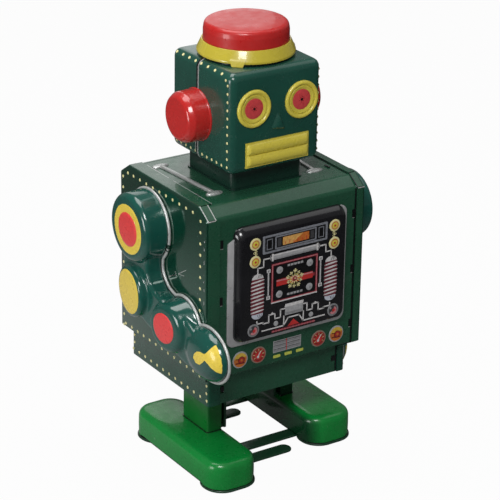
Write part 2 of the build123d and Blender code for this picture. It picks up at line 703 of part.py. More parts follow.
def foot_shell(s):
    low = SOLE_T + GAP
    shell = prism_z(foot_outline(s, 0, 0, 0), low, FOOT_TOP)
    shell = fillet(shell.faces().sort_by(Axis.Z)[-1].edges(), 1.1)
    shell -= prism_z(foot_outline(s, -T, -T, -T), 0, FOOT_TOP - T)
    # rolled foot edge
    edge = prism_z(foot_outline(s, 0.25, 0.25, 0.25), low, SOLE_T + 0.6)
    edge -= prism_z(foot_outline(s, -0.2, -0.2, -0.2), 0, 2)
    return shell + edge


def sole_plate(s):
    """Sole with two strips that reach across under the other foot's side."""
    sole = prism_z(foot_outline(s, 0.5, 0.8, 0.6), 0, SOLE_T)
    middle = s * (STRIP_START - STRIP_END) / 2
    for y in R_STRIPS if s < 0 else L_STRIPS:
        strip = Pos(middle, y) * RectangleRounded(STRIP_START + STRIP_END, STRIP_W, 2.0)
        sole += prism_z(strip, 0, SOLE_T)
    return sole


def arm_fork(s):
    """Bracket with an upright slot that works the arm on this side."""
    half = FORK_HALF_Y
    fork = box(s * FORK_X0, s * FORK_X1, -half, half, 38.6, 56.0)
    fork += box(s * FORK_SEAT_X, s * FORK_X1, -half, half, 38.6, 39.2)
    fork += box(s * FORK_SEAT_X, s * (FORK_SEAT_X + 0.5), -half, half, 34.6, 39.2)
    fork -= box(
        s * 22, s * 24, -FORK_SLOT_HALF, FORK_SLOT_HALF, FORK_SLOT_Z0, FORK_SLOT_Z1
    )
    return fork


LEG_PARTS = (
    ("leg_channel", leg_channel),
    ("leg_strap", leg_strap),
    ("foot_shell", foot_shell),
    ("sole_plate", sole_plate),
    ("arm_fork", arm_fork),
)
for s, side in SIDES:
    for name, make in LEG_PARTS:
        save(side + "_" + name, Pos(0, s * THROW, 0) * make(s))

# ------------------------------------- arms, drawn for the right, swung forward
ARM_IN = 27.25               # inner face of an arm's back plate
ARM_OUT = ARM_IN + T         # its outer face
# domed discs: y, z, base radius, face radius, depth
SHOULDER = (5.9, 71.6, 10.15, 9.7, 7.3)
ELBOW = (6.5, 51.8, 9.0, 8.0, 6.8)
FOREARM = (-13.0, 47.0, 8.4, 7.3, 5.9)
DISCS = (SHOULDER, ELBOW, FOREARM)
HAND = (-26.8, 43.6, 9.5, 7.5)   # y, z, half length, half height of the oval
HAND_STEPS = ((1.0, 1.8), (0.86, 3.2), (0.62, 4.3))  # scale of the oval, depth
# webs between the discs: y, z
UPPER_WEB = (
    (-0.9, 70.0), (-1.3, 65.5), (-0.6, 62.4), (-0.8, 59.6), (-2.5, 57.0), (-4.6, 55.2),
    (-9.0, 53.9), (-11.5, 50.0), (-8.0, 43.0), (-0.2, 44.5), (6.5, 46.0), (12.6, 50.0),
    (12.6, 70.0),
)
LOWER_WEB = (
    (-15.4, 53.8), (-21.1, 49.8), (-26.8, 43.6), (-24.0, 38.4), (-17.2, 38.9),
    (-12.0, 39.4), (-11.2, 47.0),
)
WEBS = ((UPPER_WEB, 5.0), (LOWER_WEB, 3.6))  # outline, depth
DRIVE_PIN = polar(ARM_PIVOT, PIN_DOWN, radians(-90 - ARM_SWING / 2))
DRIVE_PIN_R, DRIVE_PIN_END_R = 1.2, 1.0
RIVET_R = 1.1


def hand_oval(grow, scale=1.0):
    y, z, half_l, half_h = HAND
    points = []
    for i in range(48):
        angle = 2 * pi * i / 48
        points.append((
            y + scale * (half_l + grow) * cos(angle),
            z + scale * (half_h + grow) * sin(angle),
        ))
    return poly(*points)


def arm_outline(grow):
    sketch = offset(poly(*UPPER_WEB), grow) + offset(poly(*LOWER_WEB), grow)
    for y, z, base_r, _, _ in DISCS:
        sketch += Pos(y, z) * Circle(base_r + grow)
    return sketch + hand_oval(grow)


def arm_volume(inset):
    """Pressed shape, growing outwards to -X; an inset one is open at its base."""
    base_x = -(ARM_OUT + GAP)
    start = base_x + (0.6 if inset else 0)
    volume = None
    for y, z, base_r, face_r, depth in DISCS:
        disc = cone_x(y, z, base_r - inset, face_r - inset, start, base_x - depth + inset)
        volume = disc if volume is None else volume + disc
    for scale, depth in HAND_STEPS:
        volume += prism_x(hand_oval(-inset / scale, scale), start, base_x - depth + inset)
    for web, depth in WEBS:
        sketch = offset(poly(*web), -inset) if inset else poly(*web)
        volume += prism_x(sketch, start, base_x - depth + inset)
    return volume


def arm_back_plate():
    plate = prism_x(arm_outline(0.9), -ARM_IN, -ARM_OUT)
    plate -= cyl_x(RIVET_R + RUN, -30, -25, *ARM_PIVOT)
    # lightening holes under the discs
    plate -= cyl_x(5.0, -30, -25, SHOULDER[0], SHOULDER[1])
    plate -= cyl_x(4.0, -30, -25, ELBOW[0] + 1.0, ELBOW[1])
    return plate - cyl_x(DRIVE_PIN_END_R + PRESS, -30, -25, *DRIVE_PIN)


def arm_drive_pin():
    pin = cyl_x(DRIVE_PIN_R, -24.0, -(ARM_IN - 0.05), *DRIVE_PIN)
    pin += cyl_x(DRIVE_PIN_END_R, -25, -(ARM_OUT + 0.3), *DRIVE_PIN)
    return pin + cyl_x(1.8, -(ARM_OUT + 0.05), -(ARM_OUT + 0.5), *DRIVE_PIN)


def pivot_rivet(s):
    return (
        cyl_x(2.8, s * 25.7, s * 26.55, *ARM_PIVOT)
        + cyl_x(RIVET_R, s * 26.0, s * 28.2, *ARM_PIVOT)
        + cyl_x(1.5, s * 27.72, s * 28.4, *ARM_PIVOT)
    )


# the left arm is the right one mirrored, at the other end of its swing
pivot_axis = Axis((0, *ARM_PIVOT), (1, 0, 0))
for name, solid in (
    ("arm_shell", arm_volume(0) - arm_volume(T + 0.02)),
    ("arm_back_plate", arm_back_plate()),
    ("arm_drive_pin", arm_drive_pin()),
):
    save("right_" + name, solid)
    save("left_" + name, mirror(solid, about=Plane.YZ).rotate(pivot_axis, ARM_SWING))
save("arm_pivot_rivets", *[pivot_rivet(s) for s, side in SIDES])
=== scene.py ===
"""Wind-up tin robot: casing, head, swinging arms, feet, winding key and printed details.

Pieces are laid out in millimetres. The robot faces -y and stands on z = 0; its right side is
at -x (side = -1) and its left side at +x (side = 1). y = 0 is the crankshaft axis.
"""
import bpy, bmesh, math
from math import sin, cos, pi, radians, sqrt, atan2, hypot
from mathutils import Vector, Matrix
from mathutils.bvhtree import BVHTree


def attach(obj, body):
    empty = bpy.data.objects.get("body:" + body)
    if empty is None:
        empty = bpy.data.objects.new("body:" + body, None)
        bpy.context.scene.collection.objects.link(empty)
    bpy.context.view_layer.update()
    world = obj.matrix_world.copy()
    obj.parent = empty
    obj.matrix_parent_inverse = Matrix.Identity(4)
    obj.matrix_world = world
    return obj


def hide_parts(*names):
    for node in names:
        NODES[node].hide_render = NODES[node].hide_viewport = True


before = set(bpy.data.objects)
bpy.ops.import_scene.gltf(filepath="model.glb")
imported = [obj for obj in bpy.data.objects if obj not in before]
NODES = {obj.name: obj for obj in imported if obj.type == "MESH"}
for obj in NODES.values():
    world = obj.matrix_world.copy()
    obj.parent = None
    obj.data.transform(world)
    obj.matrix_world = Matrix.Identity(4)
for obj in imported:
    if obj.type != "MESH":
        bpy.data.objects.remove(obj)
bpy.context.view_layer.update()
scene = bpy.context.scene

AXIS_Y = -9.9           # y of the crankshaft axis in the row frame
BODY = "robot_body"
SIDES = ((-1, "right"), (1, "left"))


def to_metres(point):
    x, y, z = point
    return x * 0.001, (y + AXIS_Y) * 0.001, z * 0.001


# ============================================================ shader helpers
def new_material(name):
    material = bpy.data.materials.new(name)
    material.use_nodes = True
    tree = material.node_tree
    return material, tree, tree.nodes["Principled BSDF"]


def set_inputs(tree, node, values):
    """Link sockets, or set plain values, on the named or numbered inputs."""
    for key, value in values.items():
        socket = node.inputs[key]
        if isinstance(value, bpy.types.NodeSocket):
            tree.links.new(value, socket)
        elif socket.type == "RGBA":
            socket.default_value = (*value, 1)
        else:
            socket.default_value = value


def add_node(tree, kind, inputs=None, **settings):
    node = tree.nodes.new(kind)
    for key, value in settings.items():
        setattr(node, key, value)
    set_inputs(tree, node, inputs or {})
    return node


def maths(tree, operation, first, second):
    return add_node(tree, "ShaderNodeMath", {0: first, 1: second}, operation=operation).outputs[0]


def dot(tree, vector, direction):
    node = add_node(tree, "ShaderNodeVectorMath", {0: vector, 1: direction},
                    operation="DOT_PRODUCT")
    return node.outputs["Value"]


def ramp(tree, factor, start, end, low=0.0, high=1.0):
    """Grey level or colour `low` up to `start`, blending to `high` at `end`."""
    node = add_node(tree, "ShaderNodeValToRGB", {"Fac": factor})
    stops = node.color_ramp.elements
    for i, (position, colour) in enumerate(((start, low), (end, high))):
        stops[i].position = position
        stops[i].color = (*colour, 1) if isinstance(colour, tuple) else (colour,) * 3 + (1,)
    return node.outputs["Color"]


def smooth_range(tree, value, source, target):
    """Ease from target[0] to target[1] as the value goes from source[0] to source[1]."""
    node = add_node(tree, "ShaderNodeMapRange", {
        "Value": value,
        "From Min": source[0], "From Max": source[1],
        "To Min": target[0], "To Max": target[1],
    }, interpolation_type="SMOOTHSTEP")
    return node.outputs["Result"]


def noise(tree, vector, scale, detail=3.0, rough=0.55):
    return add_node(tree, "ShaderNodeTexNoise", {
        "Scale": scale, "Detail": detail, "Roughness": rough, "Vector": vector,
    }).outputs["Fac"]


def mapped(tree, vector, scale, rotation=(0, 0, 0)):
    return add_node(tree, "ShaderNodeMapping", {
        "Scale": scale, "Rotation": rotation, "Vector": vector,
    }).outputs[0]


def mix(tree, factor, first, second):
    return add_node(tree, "ShaderNodeMix", {0: factor, 6: first, 7: second},
                    data_type="RGBA").outputs[2]


def mix_shader(tree, factor, first, second):
    return add_node(tree, "ShaderNodeMixShader", {0: factor, 1: first, 2: second}).outputs[0]


def bump(tree, height, strength, distance):
    return add_node(tree, "ShaderNodeBump", {
        "Strength": strength, "Distance": distance, "Height": height,
    }).outputs[0]


def object_coords(tree):
    return add_node(tree, "ShaderNodeTexCoord").outputs["Object"]


def scaled(colour, factor):
    return tuple(channel * factor for channel in colour)


# ============================================================ material kinds
def enamel(name, colour, rough=0.22, coat=0.7, drift=0.10, wear=0.0, fine=1.0,
           ior=1.5, coat_ior=1.5, tint=None):
    """Baked lacquer on tin: slow colour drift, mottling, hairline rubs, chips and orange peel.

    `drift` is the spread of the colour, `fine` the strength of mottling and rubs.
    """
    material, tree, shader = new_material(name)
    coords = object_coords(tree)
    slow = noise(tree, coords, scale=60, detail=2.0)
    mottle = noise(tree, coords, scale=900, detail=4.0, rough=0.6)
    base = mix(tree, ramp(tree, slow, 0.3, 0.7),
               scaled(colour, 1 - drift), scaled(colour, 1 + drift))
    amount = maths(tree, "MULTIPLY", ramp(tree, mottle, 0.45, 0.75), 0.35 * fine)
    base = mix(tree, amount, base, scaled(colour, 1 - 2.2 * drift))
    # hairline rubs: noise stretched along one way
    stretched = mapped(tree, coords, scale=(90, 2600, 260), rotation=(0.5, 0.2, 0.4))
    rubs = ramp(tree, noise(tree, stretched, scale=1.0, detail=2.0), 0.70, 0.78)
    rubbed = tuple(channel * 0.7 + 0.16 for channel in colour)
    base = mix(tree, maths(tree, "MULTIPLY", rubs, 0.10 * fine), base, rubbed)
    if wear:
        # chips down to bare tin
        chips = ramp(tree, noise(tree, coords, scale=700, detail=5.0, rough=0.7),
                     0.70 - 0.04 * wear, 0.72 - 0.04 * wear)
        base = mix(tree, maths(tree, "MULTIPLY", chips, 0.6), base, (0.42, 0.42, 0.40))
    dulling = ramp(tree, noise(tree, coords, scale=320), 0.3, 0.75, rough * 0.75, rough * 1.5)
    peel = noise(tree, coords, scale=1400, detail=2.0)
    height = maths(tree, "ADD", maths(tree, "MULTIPLY", slow, 3.0), peel)
    normal = bump(tree, height, strength=0.12, distance=0.00004)
    set_inputs(tree, shader, {
        "Base Color": base, "Roughness": dulling, "IOR": ior,
        "Coat Weight": coat, "Coat Roughness": 0.04, "Coat IOR": coat_ior,
        "Normal": normal, "Coat Normal": normal,
    })
    if tint:
        set_inputs(tree, shader, {"Specular Tint": tint})
    return material


def metal(name, colour, rough=0.3, streak=(40, 40, 2500), drift=0.15, tarnish=0.15,
          metallic=1.0):
    """Bare or plated metal with drawn streaks and faint tarnish."""
    material, tree, shader = new_material(name)
    coords = object_coords(tree)
    streaks = noise(tree, mapped(tree, coords, scale=streak), scale=1.0)
    base = mix(tree, ramp(tree, streaks, 0.3, 0.7),
               scaled(colour, 1 - drift), scaled(colour, 1 + drift))
    patches = ramp(tree, noise(tree, coords, scale=220, detail=4.0, rough=0.65), 0.5, 0.8)
    red, green, blue = colour
    base = mix(tree, maths(tree, "MULTIPLY", patches, tarnish), base,
               scaled((red, green * 0.85, blue * 0.6), 0.45))
    set_inputs(tree, shader, {
        "Base Color": base, "Metallic": metallic,
        "Roughness": ramp(tree, streaks, 0.3, 0.7, rough * 0.7, rough * 1.4),
        "Normal": bump(tree, streaks, strength=0.15, distance=0.00003),
    })
    return material


def ink(name, colour, dots=0.0, drift=0.12):
    """Printed ink: slight mottling, and halftone dots of strength `dots`, under varnish."""
    material, tree, shader = new_material(name)
    coords = object_coords(tree)
    grain = noise(tree, coords, scale=1600)
    base = mix(tree, ramp(tree, grain, 0.35, 0.7),
               scaled(colour, 1 - drift), scaled(colour, 1 + drift))
    if dots:
        cells = add_node(tree, "ShaderNodeTexVoronoi", {"Scale": 2600, "Vector": coords})
        spots = ramp(tree, cells.outputs["Distance"], 0.25, 0.4, 1.0, 0.0)
        base = mix(tree, maths(tree, "MULTIPLY", spots, dots), base, scaled(colour, 0.55))
    sheen = noise(tree, coords, scale=400, detail=2.0)
    set_inputs(tree, shader, {
        "Base Color": base, "Roughness": ramp(tree, sheen, 0.3, 0.7, 0.24, 0.39),
        "Coat Weight": 0.5, "Coat Roughness": 0.08,
        "Normal": bump(tree, grain, strength=0.08, distance=0.00003),
    })
    return material


def paint_facing_shade(material, axis, sign, colour):
    """Painted shade: blend to a darker colour where the surface faces one way along an axis."""
    tree = material.node_tree
    base = tree.nodes["Principled BSDF"].inputs["Base Color"]
    normal = add_node(tree, "ShaderNodeTexCoord").outputs["Normal"]
    parts = add_node(tree, "ShaderNodeSeparateXYZ", {0: normal})
    facing = ramp(tree, maths(tree, "MULTIPLY", parts.outputs[axis], sign), 0.35, 0.93)
    tree.links.new(mix(tree, facing, base.links[0].from_socket, colour), base)


# ============================================================ materials
GREEN_BODY = enamel("body_enamel", (0.0135, 0.0720, 0.0375), rough=0.26, coat=0.55,
                    wear=0.15, fine=0.65)
GREEN_SIDE = enamel("side_enamel", (0.0022, 0.0290, 0.0155), rough=0.12, coat=0.6, wear=0.12,
                    ior=2.15, coat_ior=1.65, tint=(0.62, 1.0, 0.82), fine=0.6)
GREEN_SKIRT = enamel("skirt_enamel", (0.0050, 0.0560, 0.0310), rough=0.24, coat=0.5,
                     wear=0.15, fine=0.65)
GREEN_HEAD = enamel("head_enamel", (0.0115, 0.0680, 0.0480), coat=0.5, wear=0.1, fine=0.7)
GREEN_ARM = enamel("arm_enamel", (0.0084, 0.0770, 0.0588), rough=0.18, coat=0.8, wear=0.1)
GREEN_NECK = enamel("neck_enamel", (0.006, 0.030, 0.020), rough=0.3, coat=0.4)
GREEN_SOLE = enamel("sole_enamel", (0.006, 0.050, 0.020), rough=0.45, coat=0.05)
# colours of the painted shade on the front of each leg
LEG_FRONT_SHADE = {"right": (0.003, 0.105, 0.017), "left": (0.003, 0.032, 0.012)}
GREEN_FOOT, GREEN_LEG = {}, {}
for side, side_name in SIDES:
    foot_green = enamel(side_name + "_foot_enamel", (0.0040, 0.2300, 0.0370), rough=0.27,
                        coat=0.35, wear=0.05, fine=0.5)
    leg_green = enamel(side_name + "_leg_enamel", (0.0030, 0.1500, 0.0200), rough=0.34,
                       coat=0.2)
    # painted shade: darker towards the other foot, and on the front of the leg
    paint_facing_shade(foot_green, "X", -side, (0.003, 0.045, 0.014))
    paint_facing_shade(leg_green, "X", -side, (0.003, 0.030, 0.012))
    paint_facing_shade(leg_green, "Y", -1.0, LEG_FRONT_SHADE[side_name])
    GREEN_FOOT[side_name] = foot_green
    GREEN_LEG[side_name] = leg_green
YELLOW = enamel("yellow_lacquer", (0.51, 0.42, 0.040), rough=0.24, coat=0.6, drift=0.06,
                wear=0.05)
RED = enamel("red_lacquer", (0.50, 0.018, 0.016), coat=0.75, drift=0.08)
RED_CAP = enamel("cap_lacquer", (0.47, 0.015, 0.014), rough=0.32, coat=0.2, drift=0.06)
BLACK = enamel("black_litho", (0.010, 0.010, 0.012), rough=0.2, coat=0.8, drift=0.2, fine=0.6)

YELLOW_PRINT = ink("yellow_print", (0.63, 0.53, 0.062), drift=0.06)
PUPIL_RED = ink("pupil_red", (0.60, 0.055, 0.06), drift=0.1)
DARK_RED = ink("dark_red_ink", (0.14, 0.01, 0.01))
RED_PRINT = ink("red_print", (0.50, 0.022, 0.02), drift=0.08)
DOT_INK = ink("dot_print", (0.78, 0.72, 0.36), drift=0.05)
CREAM = ink("cream_print", (0.6840, 0.6270, 0.3135), drift=0.06)
ARM_YELLOW = ink("arm_yellow", (0.80, 0.60, 0.07), drift=0.07)
ARM_RED = ink("arm_red", (0.74, 0.052, 0.052), drift=0.08)
GREY = ink("grey_ink", (0.24, 0.24, 0.25), dots=0.4)
DARK_GREY = ink("dark_grey_ink", (0.05, 0.05, 0.055))
WHITE = ink("white_ink", (0.60, 0.585, 0.585))
PINK = ink("pink_ink", (0.55, 0.20, 0.22), dots=0.3)
ORANGE = ink("orange_ink", (0.52, 0.14, 0.02), dots=0.3)
GAUGE_RED = ink("gauge_red_ink", (0.36, 0.022, 0.016), drift=0.1)
GAUGE_YELLOW = ink("gauge_yellow_ink", (0.60, 0.40, 0.045), dots=0.2)
LIME = ink("lime_ink", (0.52, 0.55, 0.08))
LIGHT_GREY = ink("light_grey_ink", (0.36, 0.36, 0.37), dots=0.15)
DOTTED_GREY = ink("dotted_grey_ink", (0.21, 0.22, 0.25), dots=0.75)
COIL_RED = ink("coil_red_ink", (0.15, 0.022, 0.032))
FRAME_RED = ink("frame_red_ink", (0.26, 0.022, 0.035))
AMBER = ink("amber_ink", (0.66, 0.36, 0.10), dots=0.2)
PALE_PINK = ink("pale_pink_ink", (0.27, 0.18, 0.14))
BLUE_WHITE = ink("blue_white_ink", (0.50, 0.53, 0.60))
BLACK_INK = ink("black_ink", (0.006, 0.006, 0.007))

SILVER = metal("silver_litho", (0.50, 0.50, 0.51), rough=0.36, streak=(400, 400, 400),
               drift=0.08, tarnish=0.12, metallic=0.35)
TIN = metal("bare_tin", (0.62, 0.63, 0.62), rough=0.28, streak=(300, 300, 300), tarnish=0.25)
BEAD = metal("tin_bead", (0.50, 0.52, 0.51), rough=0.34, streak=(2000, 60, 2000),
             tarnish=0.2, metallic=0.6)
EDGE = metal("cut_edge", (0.58, 0.59, 0.58), rough=0.36, streak=(900, 900, 900),
             tarnish=0.3, metallic=0.45)
PLATED = metal("plated_steel", (0.55, 0.55, 0.53), streak=(60, 60, 2200))
TURNED = metal("turned_steel", (0.42, 0.42, 0.42), rough=0.25, streak=(2600, 50, 50))
SPRING = metal("blued_spring", (0.10, 0.12, 0.19), streak=(2600, 60, 60), tarnish=0.3)
BRASS = metal("stamped_brass", (0.72, 0.50, 0.19), rough=0.27, streak=(50, 900, 900),
              tarnish=0.3)


# ============================================================ paths
def round_path(points, radii, steps=4, closed=False):
    """Round each corner to a radius: one for all, or one per corner."""
    rounded = []
    count = len(points)
    for i, point in enumerate(points):
        radius = radii[i] if isinstance(radii, (list, tuple)) else radii
        if not closed and i in (0, count - 1) or radius <= 0:
            rounded.append(tuple(point))
            continue
        x, y = point
        before, after = points[i - 1], points[(i + 1) % count]
        length_in = hypot(before[0] - x, before[1] - y)
        length_out = hypot(after[0] - x, after[1] - y)
        way_in = ((before[0] - x) / length_in, (before[1] - y) / length_in)
        way_out = ((after[0] - x) / length_out, (after[1] - y) / length_out)
        cosine = max(-1, min(1, way_in[0] * way_out[0] + way_in[1] * way_out[1]))
        half = math.acos(cosine) / 2
        trim = min(radius / math.tan(half), length_in * 0.49, length_out * 0.49)
        fitted = trim * math.tan(half)
        bisector = (way_in[0] + way_out[0], way_in[1] + way_out[1])
        reach = hypot(trim, fitted) / hypot(*bisector)
        centre = (x + bisector[0] * reach, y + bisector[1] * reach)
        start, end = (atan2(y + way[1] * trim - centre[1], x + way[0] * trim - centre[0])
                      for way in (way_in, way_out))
        turn = (end - start + pi) % (2 * pi) - pi
        for k in range(steps + 1):
            angle = start + turn * k / steps
            rounded.append((centre[0] + fitted * cos(angle), centre[1] + fitted * sin(angle)))
    return rounded


def offset_path(points, distance, closed=False):
    """Move a path sideways, to its left for a positive distance."""
    moved = []
    last = len(points) - 1
    for i, (x, y) in enumerate(points):
        before = points[i - 1] if closed or i > 0 else points[0]
        after = points[(i + 1) % len(points)] if closed or i < last else points[last]
        normal_in = (before[1] - y, x - before[0])
        normal_out = (y - after[1], after[0] - x)
        length_in, length_out = hypot(*normal_in), hypot(*normal_out)
        if length_in < 1e-9:
            normal_in, length_in = normal_out, length_out
        if length_out < 1e-9:
            normal_out, length_out = normal_in, length_in
        mean_x = normal_in[0] / length_in + normal_out[0] / length_out
        mean_y = normal_in[1] / length_in + normal_out[1] / length_out
        length = hypot(mean_x, mean_y)
        mean_x, mean_y = mean_x / length, mean_y / length
        mitre = max(0.4, (mean_x * normal_in[0] + mean_y * normal_in[1]) / length_in)
        moved.append((x + mean_x * distance / mitre, y + mean_y * distance / mitre))
    return moved


def rounded_rect(x0, x1, y0, y1, radius, steps=6):
    return round_path([(x0, y0), (x1, y0), (x1, y1), (x0, y1)], radius, steps, True)


def circle(x, y, radius, count):
    return [(x + radius * cos(2 * pi * i / count), y + radius * sin(2 * pi * i / count))
            for i in range(count)]


def arc(x, y, radius, degrees):
    return [(x + radius * cos(radians(a)), y + radius * sin(radians(a))) for a in degrees]


def loop_area(points):
    """Twice the signed area of a closed outline."""
    return sum(a[0] * b[1] - b[0] * a[1] for a, b in zip(points, points[1:] + points[:1]))


def edge_lengths(points):
    """Lengths of a closed outline's sides."""
    return [hypot(b[0] - a[0], b[1] - a[1]) for a, b in zip(points, points[1:] + points[:1])]


def mirrored(side, points):
    return [(side * x, y) for x, y in points]


def at_x(points, x):
    return [(x, y, z) for y, z in points]


def at_y(points, y):
    return [(x, y, z) for x, z in points]


def at_z(points, z):
    return [(x, y, z) for x, y in points]


# ============================================================ shapes: (vertices, faces) pairs
def boxes(extents):
    """One box for each (x0, x1, y0, y1, z0, z1)."""
    verts, faces = [], []
    for x0, x1, y0, y1, z0, z1 in extents:
        x0, x1 = sorted((x0, x1))
        y0, y1 = sorted((y0, y1))
        k = len(verts)
        for z in (z0, z1):
            verts += [(x0, y0, z), (x1, y0, z), (x1, y1, z), (x0, y1, z)]
        faces += [[k + i for i in face] for face in (
            (3, 2, 1, 0), (4, 5, 6, 7), (0, 1, 5, 4), (1, 2, 6, 5), (2, 3, 7, 6), (3, 0, 4, 7))]
    return verts, faces


def loft(rings, capped=True):
    """Quads between rings of equal length, with flat caps at both ends."""
    verts = sum(rings, [])
    count = len(rings[0])
    faces = []
    for j in range(len(rings) - 1):
        for i in range(count):
            a, b = j * count + i, j * count + (i + 1) % count
            faces.append([a, b, b + count, a + count])
    if capped:
        faces.append(list(range(count))[::-1])
        faces.append([(len(rings) - 1) * count + i for i in range(count)])
    return verts, faces


def tube(rings):
    """A loft whose last ring joins the first."""
    return loft(rings + [rings[0]], capped=False)


def merge(shapes):
    verts, faces = [], []
    for more_verts, more_faces in shapes:
        k = len(verts)
        verts += more_verts
        faces += [[i + k for i in face] for face in more_faces]
    return verts, faces


def bent_sheet(path, thickness, half_x):
    """A sheet bent along a (y, z) path, with its thickness to the path's left."""
    section = path + offset_path(path, thickness)[::-1]
    return loft([at_x(section, -half_x), at_x(section, half_x)])


def lathe(profile, centre, axis, count=64, closed=False):
    """Turn (radius, height) pairs; heights run along the axis: x, -x, y, -y or z."""
    sign = -1 if axis[0] == "-" else 1
    rings = []
    for radius, height in profile:
        ring = []
        for across, up in circle(0, 0, radius, count):
            offset = {
                "x": (sign * height, sign * across, up),
                "y": (sign * across, sign * height, up),
                "z": (across, up, height),
            }[axis[-1]]
            ring.append(tuple(c + step for c, step in zip(centre, offset)))
        rings.append(ring)
    return tube(rings) if closed else loft(rings)


def rounded_box(x0, x1, y0, y1, z0, z1, radius):
    verts, faces = boxes([(x0, x1, y0, y1, z0, z1)])
    shape = bmesh.new()
    corners = [shape.verts.new(vert) for vert in verts]
    for face in faces:
        shape.faces.new([corners[i] for i in face])
    bmesh.ops.recalc_face_normals(shape, faces=shape.faces)
    bmesh.ops.bevel(shape, geom=list(shape.edges) + list(shape.verts), offset=radius,
                    segments=6, profile=0.5, affect="EDGES")
    shape.verts.index_update()
    verts = [tuple(vert.co) for vert in shape.verts]
    faces = [[vert.index for vert in face.verts] for face in shape.faces]
    shape.free()
    return verts, faces


# ============================================================ pieces
def new_mesh(name, shape, weld):
    """A mesh in metres with its faces turned outwards."""
    verts, faces = shape
    mesh = bpy.data.meshes.new(name)
    mesh.from_pydata([to_metres(vert) for vert in verts], [], faces)
    return mesh if weld is None else outward(mesh, weld)


def outward(mesh, weld):
    shape = bmesh.new()
    shape.from_mesh(mesh)
    if weld:
        bmesh.ops.remove_doubles(shape, verts=shape.verts, dist=1e-7)
    bmesh.ops.recalc_face_normals(shape, faces=shape.faces)
    shape.to_mesh(mesh)
    shape.free()
    return mesh


def shade(mesh, angle=32):
    """Smooth shading, sharp across edges steeper than `angle` degrees."""
    mesh.polygons.foreach_set("use_smooth", [True] * len(mesh.polygons))
    mesh.set_sharp_from_angle(angle=radians(angle))


def make(name, shape, materials, slot, body=BODY, replaces=None, angle=32,
         face_materials=None, weld=True):
    mesh = new_mesh(name, shape, None)
    for material in materials if isinstance(materials, list) else [materials]:
        mesh.materials.append(material)
    if face_materials:
        mesh.polygons.foreach_set("material_index", face_materials)
    mesh.update()
    outward(mesh, weld)
    shade(mesh, angle)
    mesh.update()
    piece = bpy.data.objects.new(name, mesh)
    scene.collection.objects.link(piece)
    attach(piece, body)
    if replaces:
        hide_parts(replaces)
    return piece


def modify(piece, kind, **settings):
    """Add a modifier and apply it."""
    modifier = piece.modifiers.new(kind, kind)
    for key, value in settings.items():
        setattr(modifier, key, value)
    graph = bpy.context.evaluated_depsgraph_get()
    mesh = bpy.data.meshes.new_from_object(
        piece.evaluated_get(graph), preserve_all_data_layers=True, depsgraph=graph)
    piece.modifiers.clear()
    piece.data = mesh
    mesh.name = piece.name


def subtract(piece, shape):
    cutter = bpy.data.objects.new("cutter", new_mesh("cutter", shape, False))
    scene.collection.objects.link(cutter)
    modify(piece, "BOOLEAN", operation="DIFFERENCE", solver="EXACT", object=cutter)
    bpy.data.objects.remove(cutter)


def cut(piece, extents):
    """Cut boxes out of a piece, one after another."""
    for extent in extents:
        subtract(piece, boxes([extent]))
    shade(piece.data)


class Print:
    """Thin shapes laid on a surface, each a closed slip from `low` to `high` above it.

    `place` turns (x, y, lift) on the surface into a point in space.
    """

    def __init__(self, place):
        self.place = place
        self.verts, self.faces = [], []
        self.inks, self.face_inks = [], []

    def add(self, rings, ink_used, closed=False):
        placed = [[self.place(*point) for point in ring] for ring in rings]
        shape = tube(placed) if closed else loft(placed)
        self.verts, self.faces = merge([(self.verts, self.faces), shape])
        if ink_used not in self.inks:
            self.inks.append(ink_used)
        self.face_inks += [self.inks.index(ink_used)] * len(shape[1])

    def slab(self, points, ink_used, low, high):
        if loop_area(points) < 0:
            points = points[::-1]
        self.add([at_z(points, low), at_z(points, high)], ink_used)

    def disc(self, x, y, radius, ink_used, low, high, count=28):
        self.slab(circle(x, y, radius, count), ink_used, low, high)

    def ring(self, x, y, inner, outer, ink_used, low, high):
        corners = ((inner, low), (inner, high), (outer, high), (outer, low))
        self.add([at_z(circle(x, y, r, 40), lift) for r, lift in corners], ink_used, True)

    def rect(self, x0, x1, y0, y1, ink_used, low, high, radius=0.0):
        if radius:
            points = rounded_rect(x0, x1, y0, y1, radius, 4)
        else:
            points = [(x0, y0), (x1, y0), (x1, y1), (x0, y1)]
        self.slab(points, ink_used, low, high)

    def frame(self, x0, x1, y0, y1, width, ink_used, low, high):
        self.rect(x0, x1, y0, y0 + width, ink_used, low, high)
        self.rect(x0, x1, y1 - width, y1, ink_used, low, high)
        self.rect(x0, x0 + width, y0 + width, y1 - width, ink_used, low, high)
        self.rect(x1 - width, x1, y0 + width, y1 - width, ink_used, low, high)

    def line(self, points, width, ink_used, low, high):
        for (x0, y0), (x1, y1) in zip(points, points[1:]):
            length = hypot(x1 - x0, y1 - y0)
            side_x = -(y1 - y0) / length * width / 2
            side_y = (x1 - x0) / length * width / 2
            self.slab([(x0 + side_x, y0 + side_y), (x0 - side_x, y0 - side_y),
                       (x1 - side_x, y1 - side_y), (x1 + side_x, y1 + side_y)],
                      ink_used, low, high)
        for x, y in points[1:-1]:
            self.disc(x, y, width / 2, ink_used, low, high, 10)

    def turned(self, profile, x, y, ink_used, count=36):
        """(radius, lift) pairs from rim to centre."""
        self.add([at_z(circle(x, y, r, count), lift) for r, lift in profile], ink_used)

    def build(self, name, slot, angle=32):
        make(name, (self.verts, self.faces), self.inks, slot, angle=angle,
             face_materials=self.face_inks)


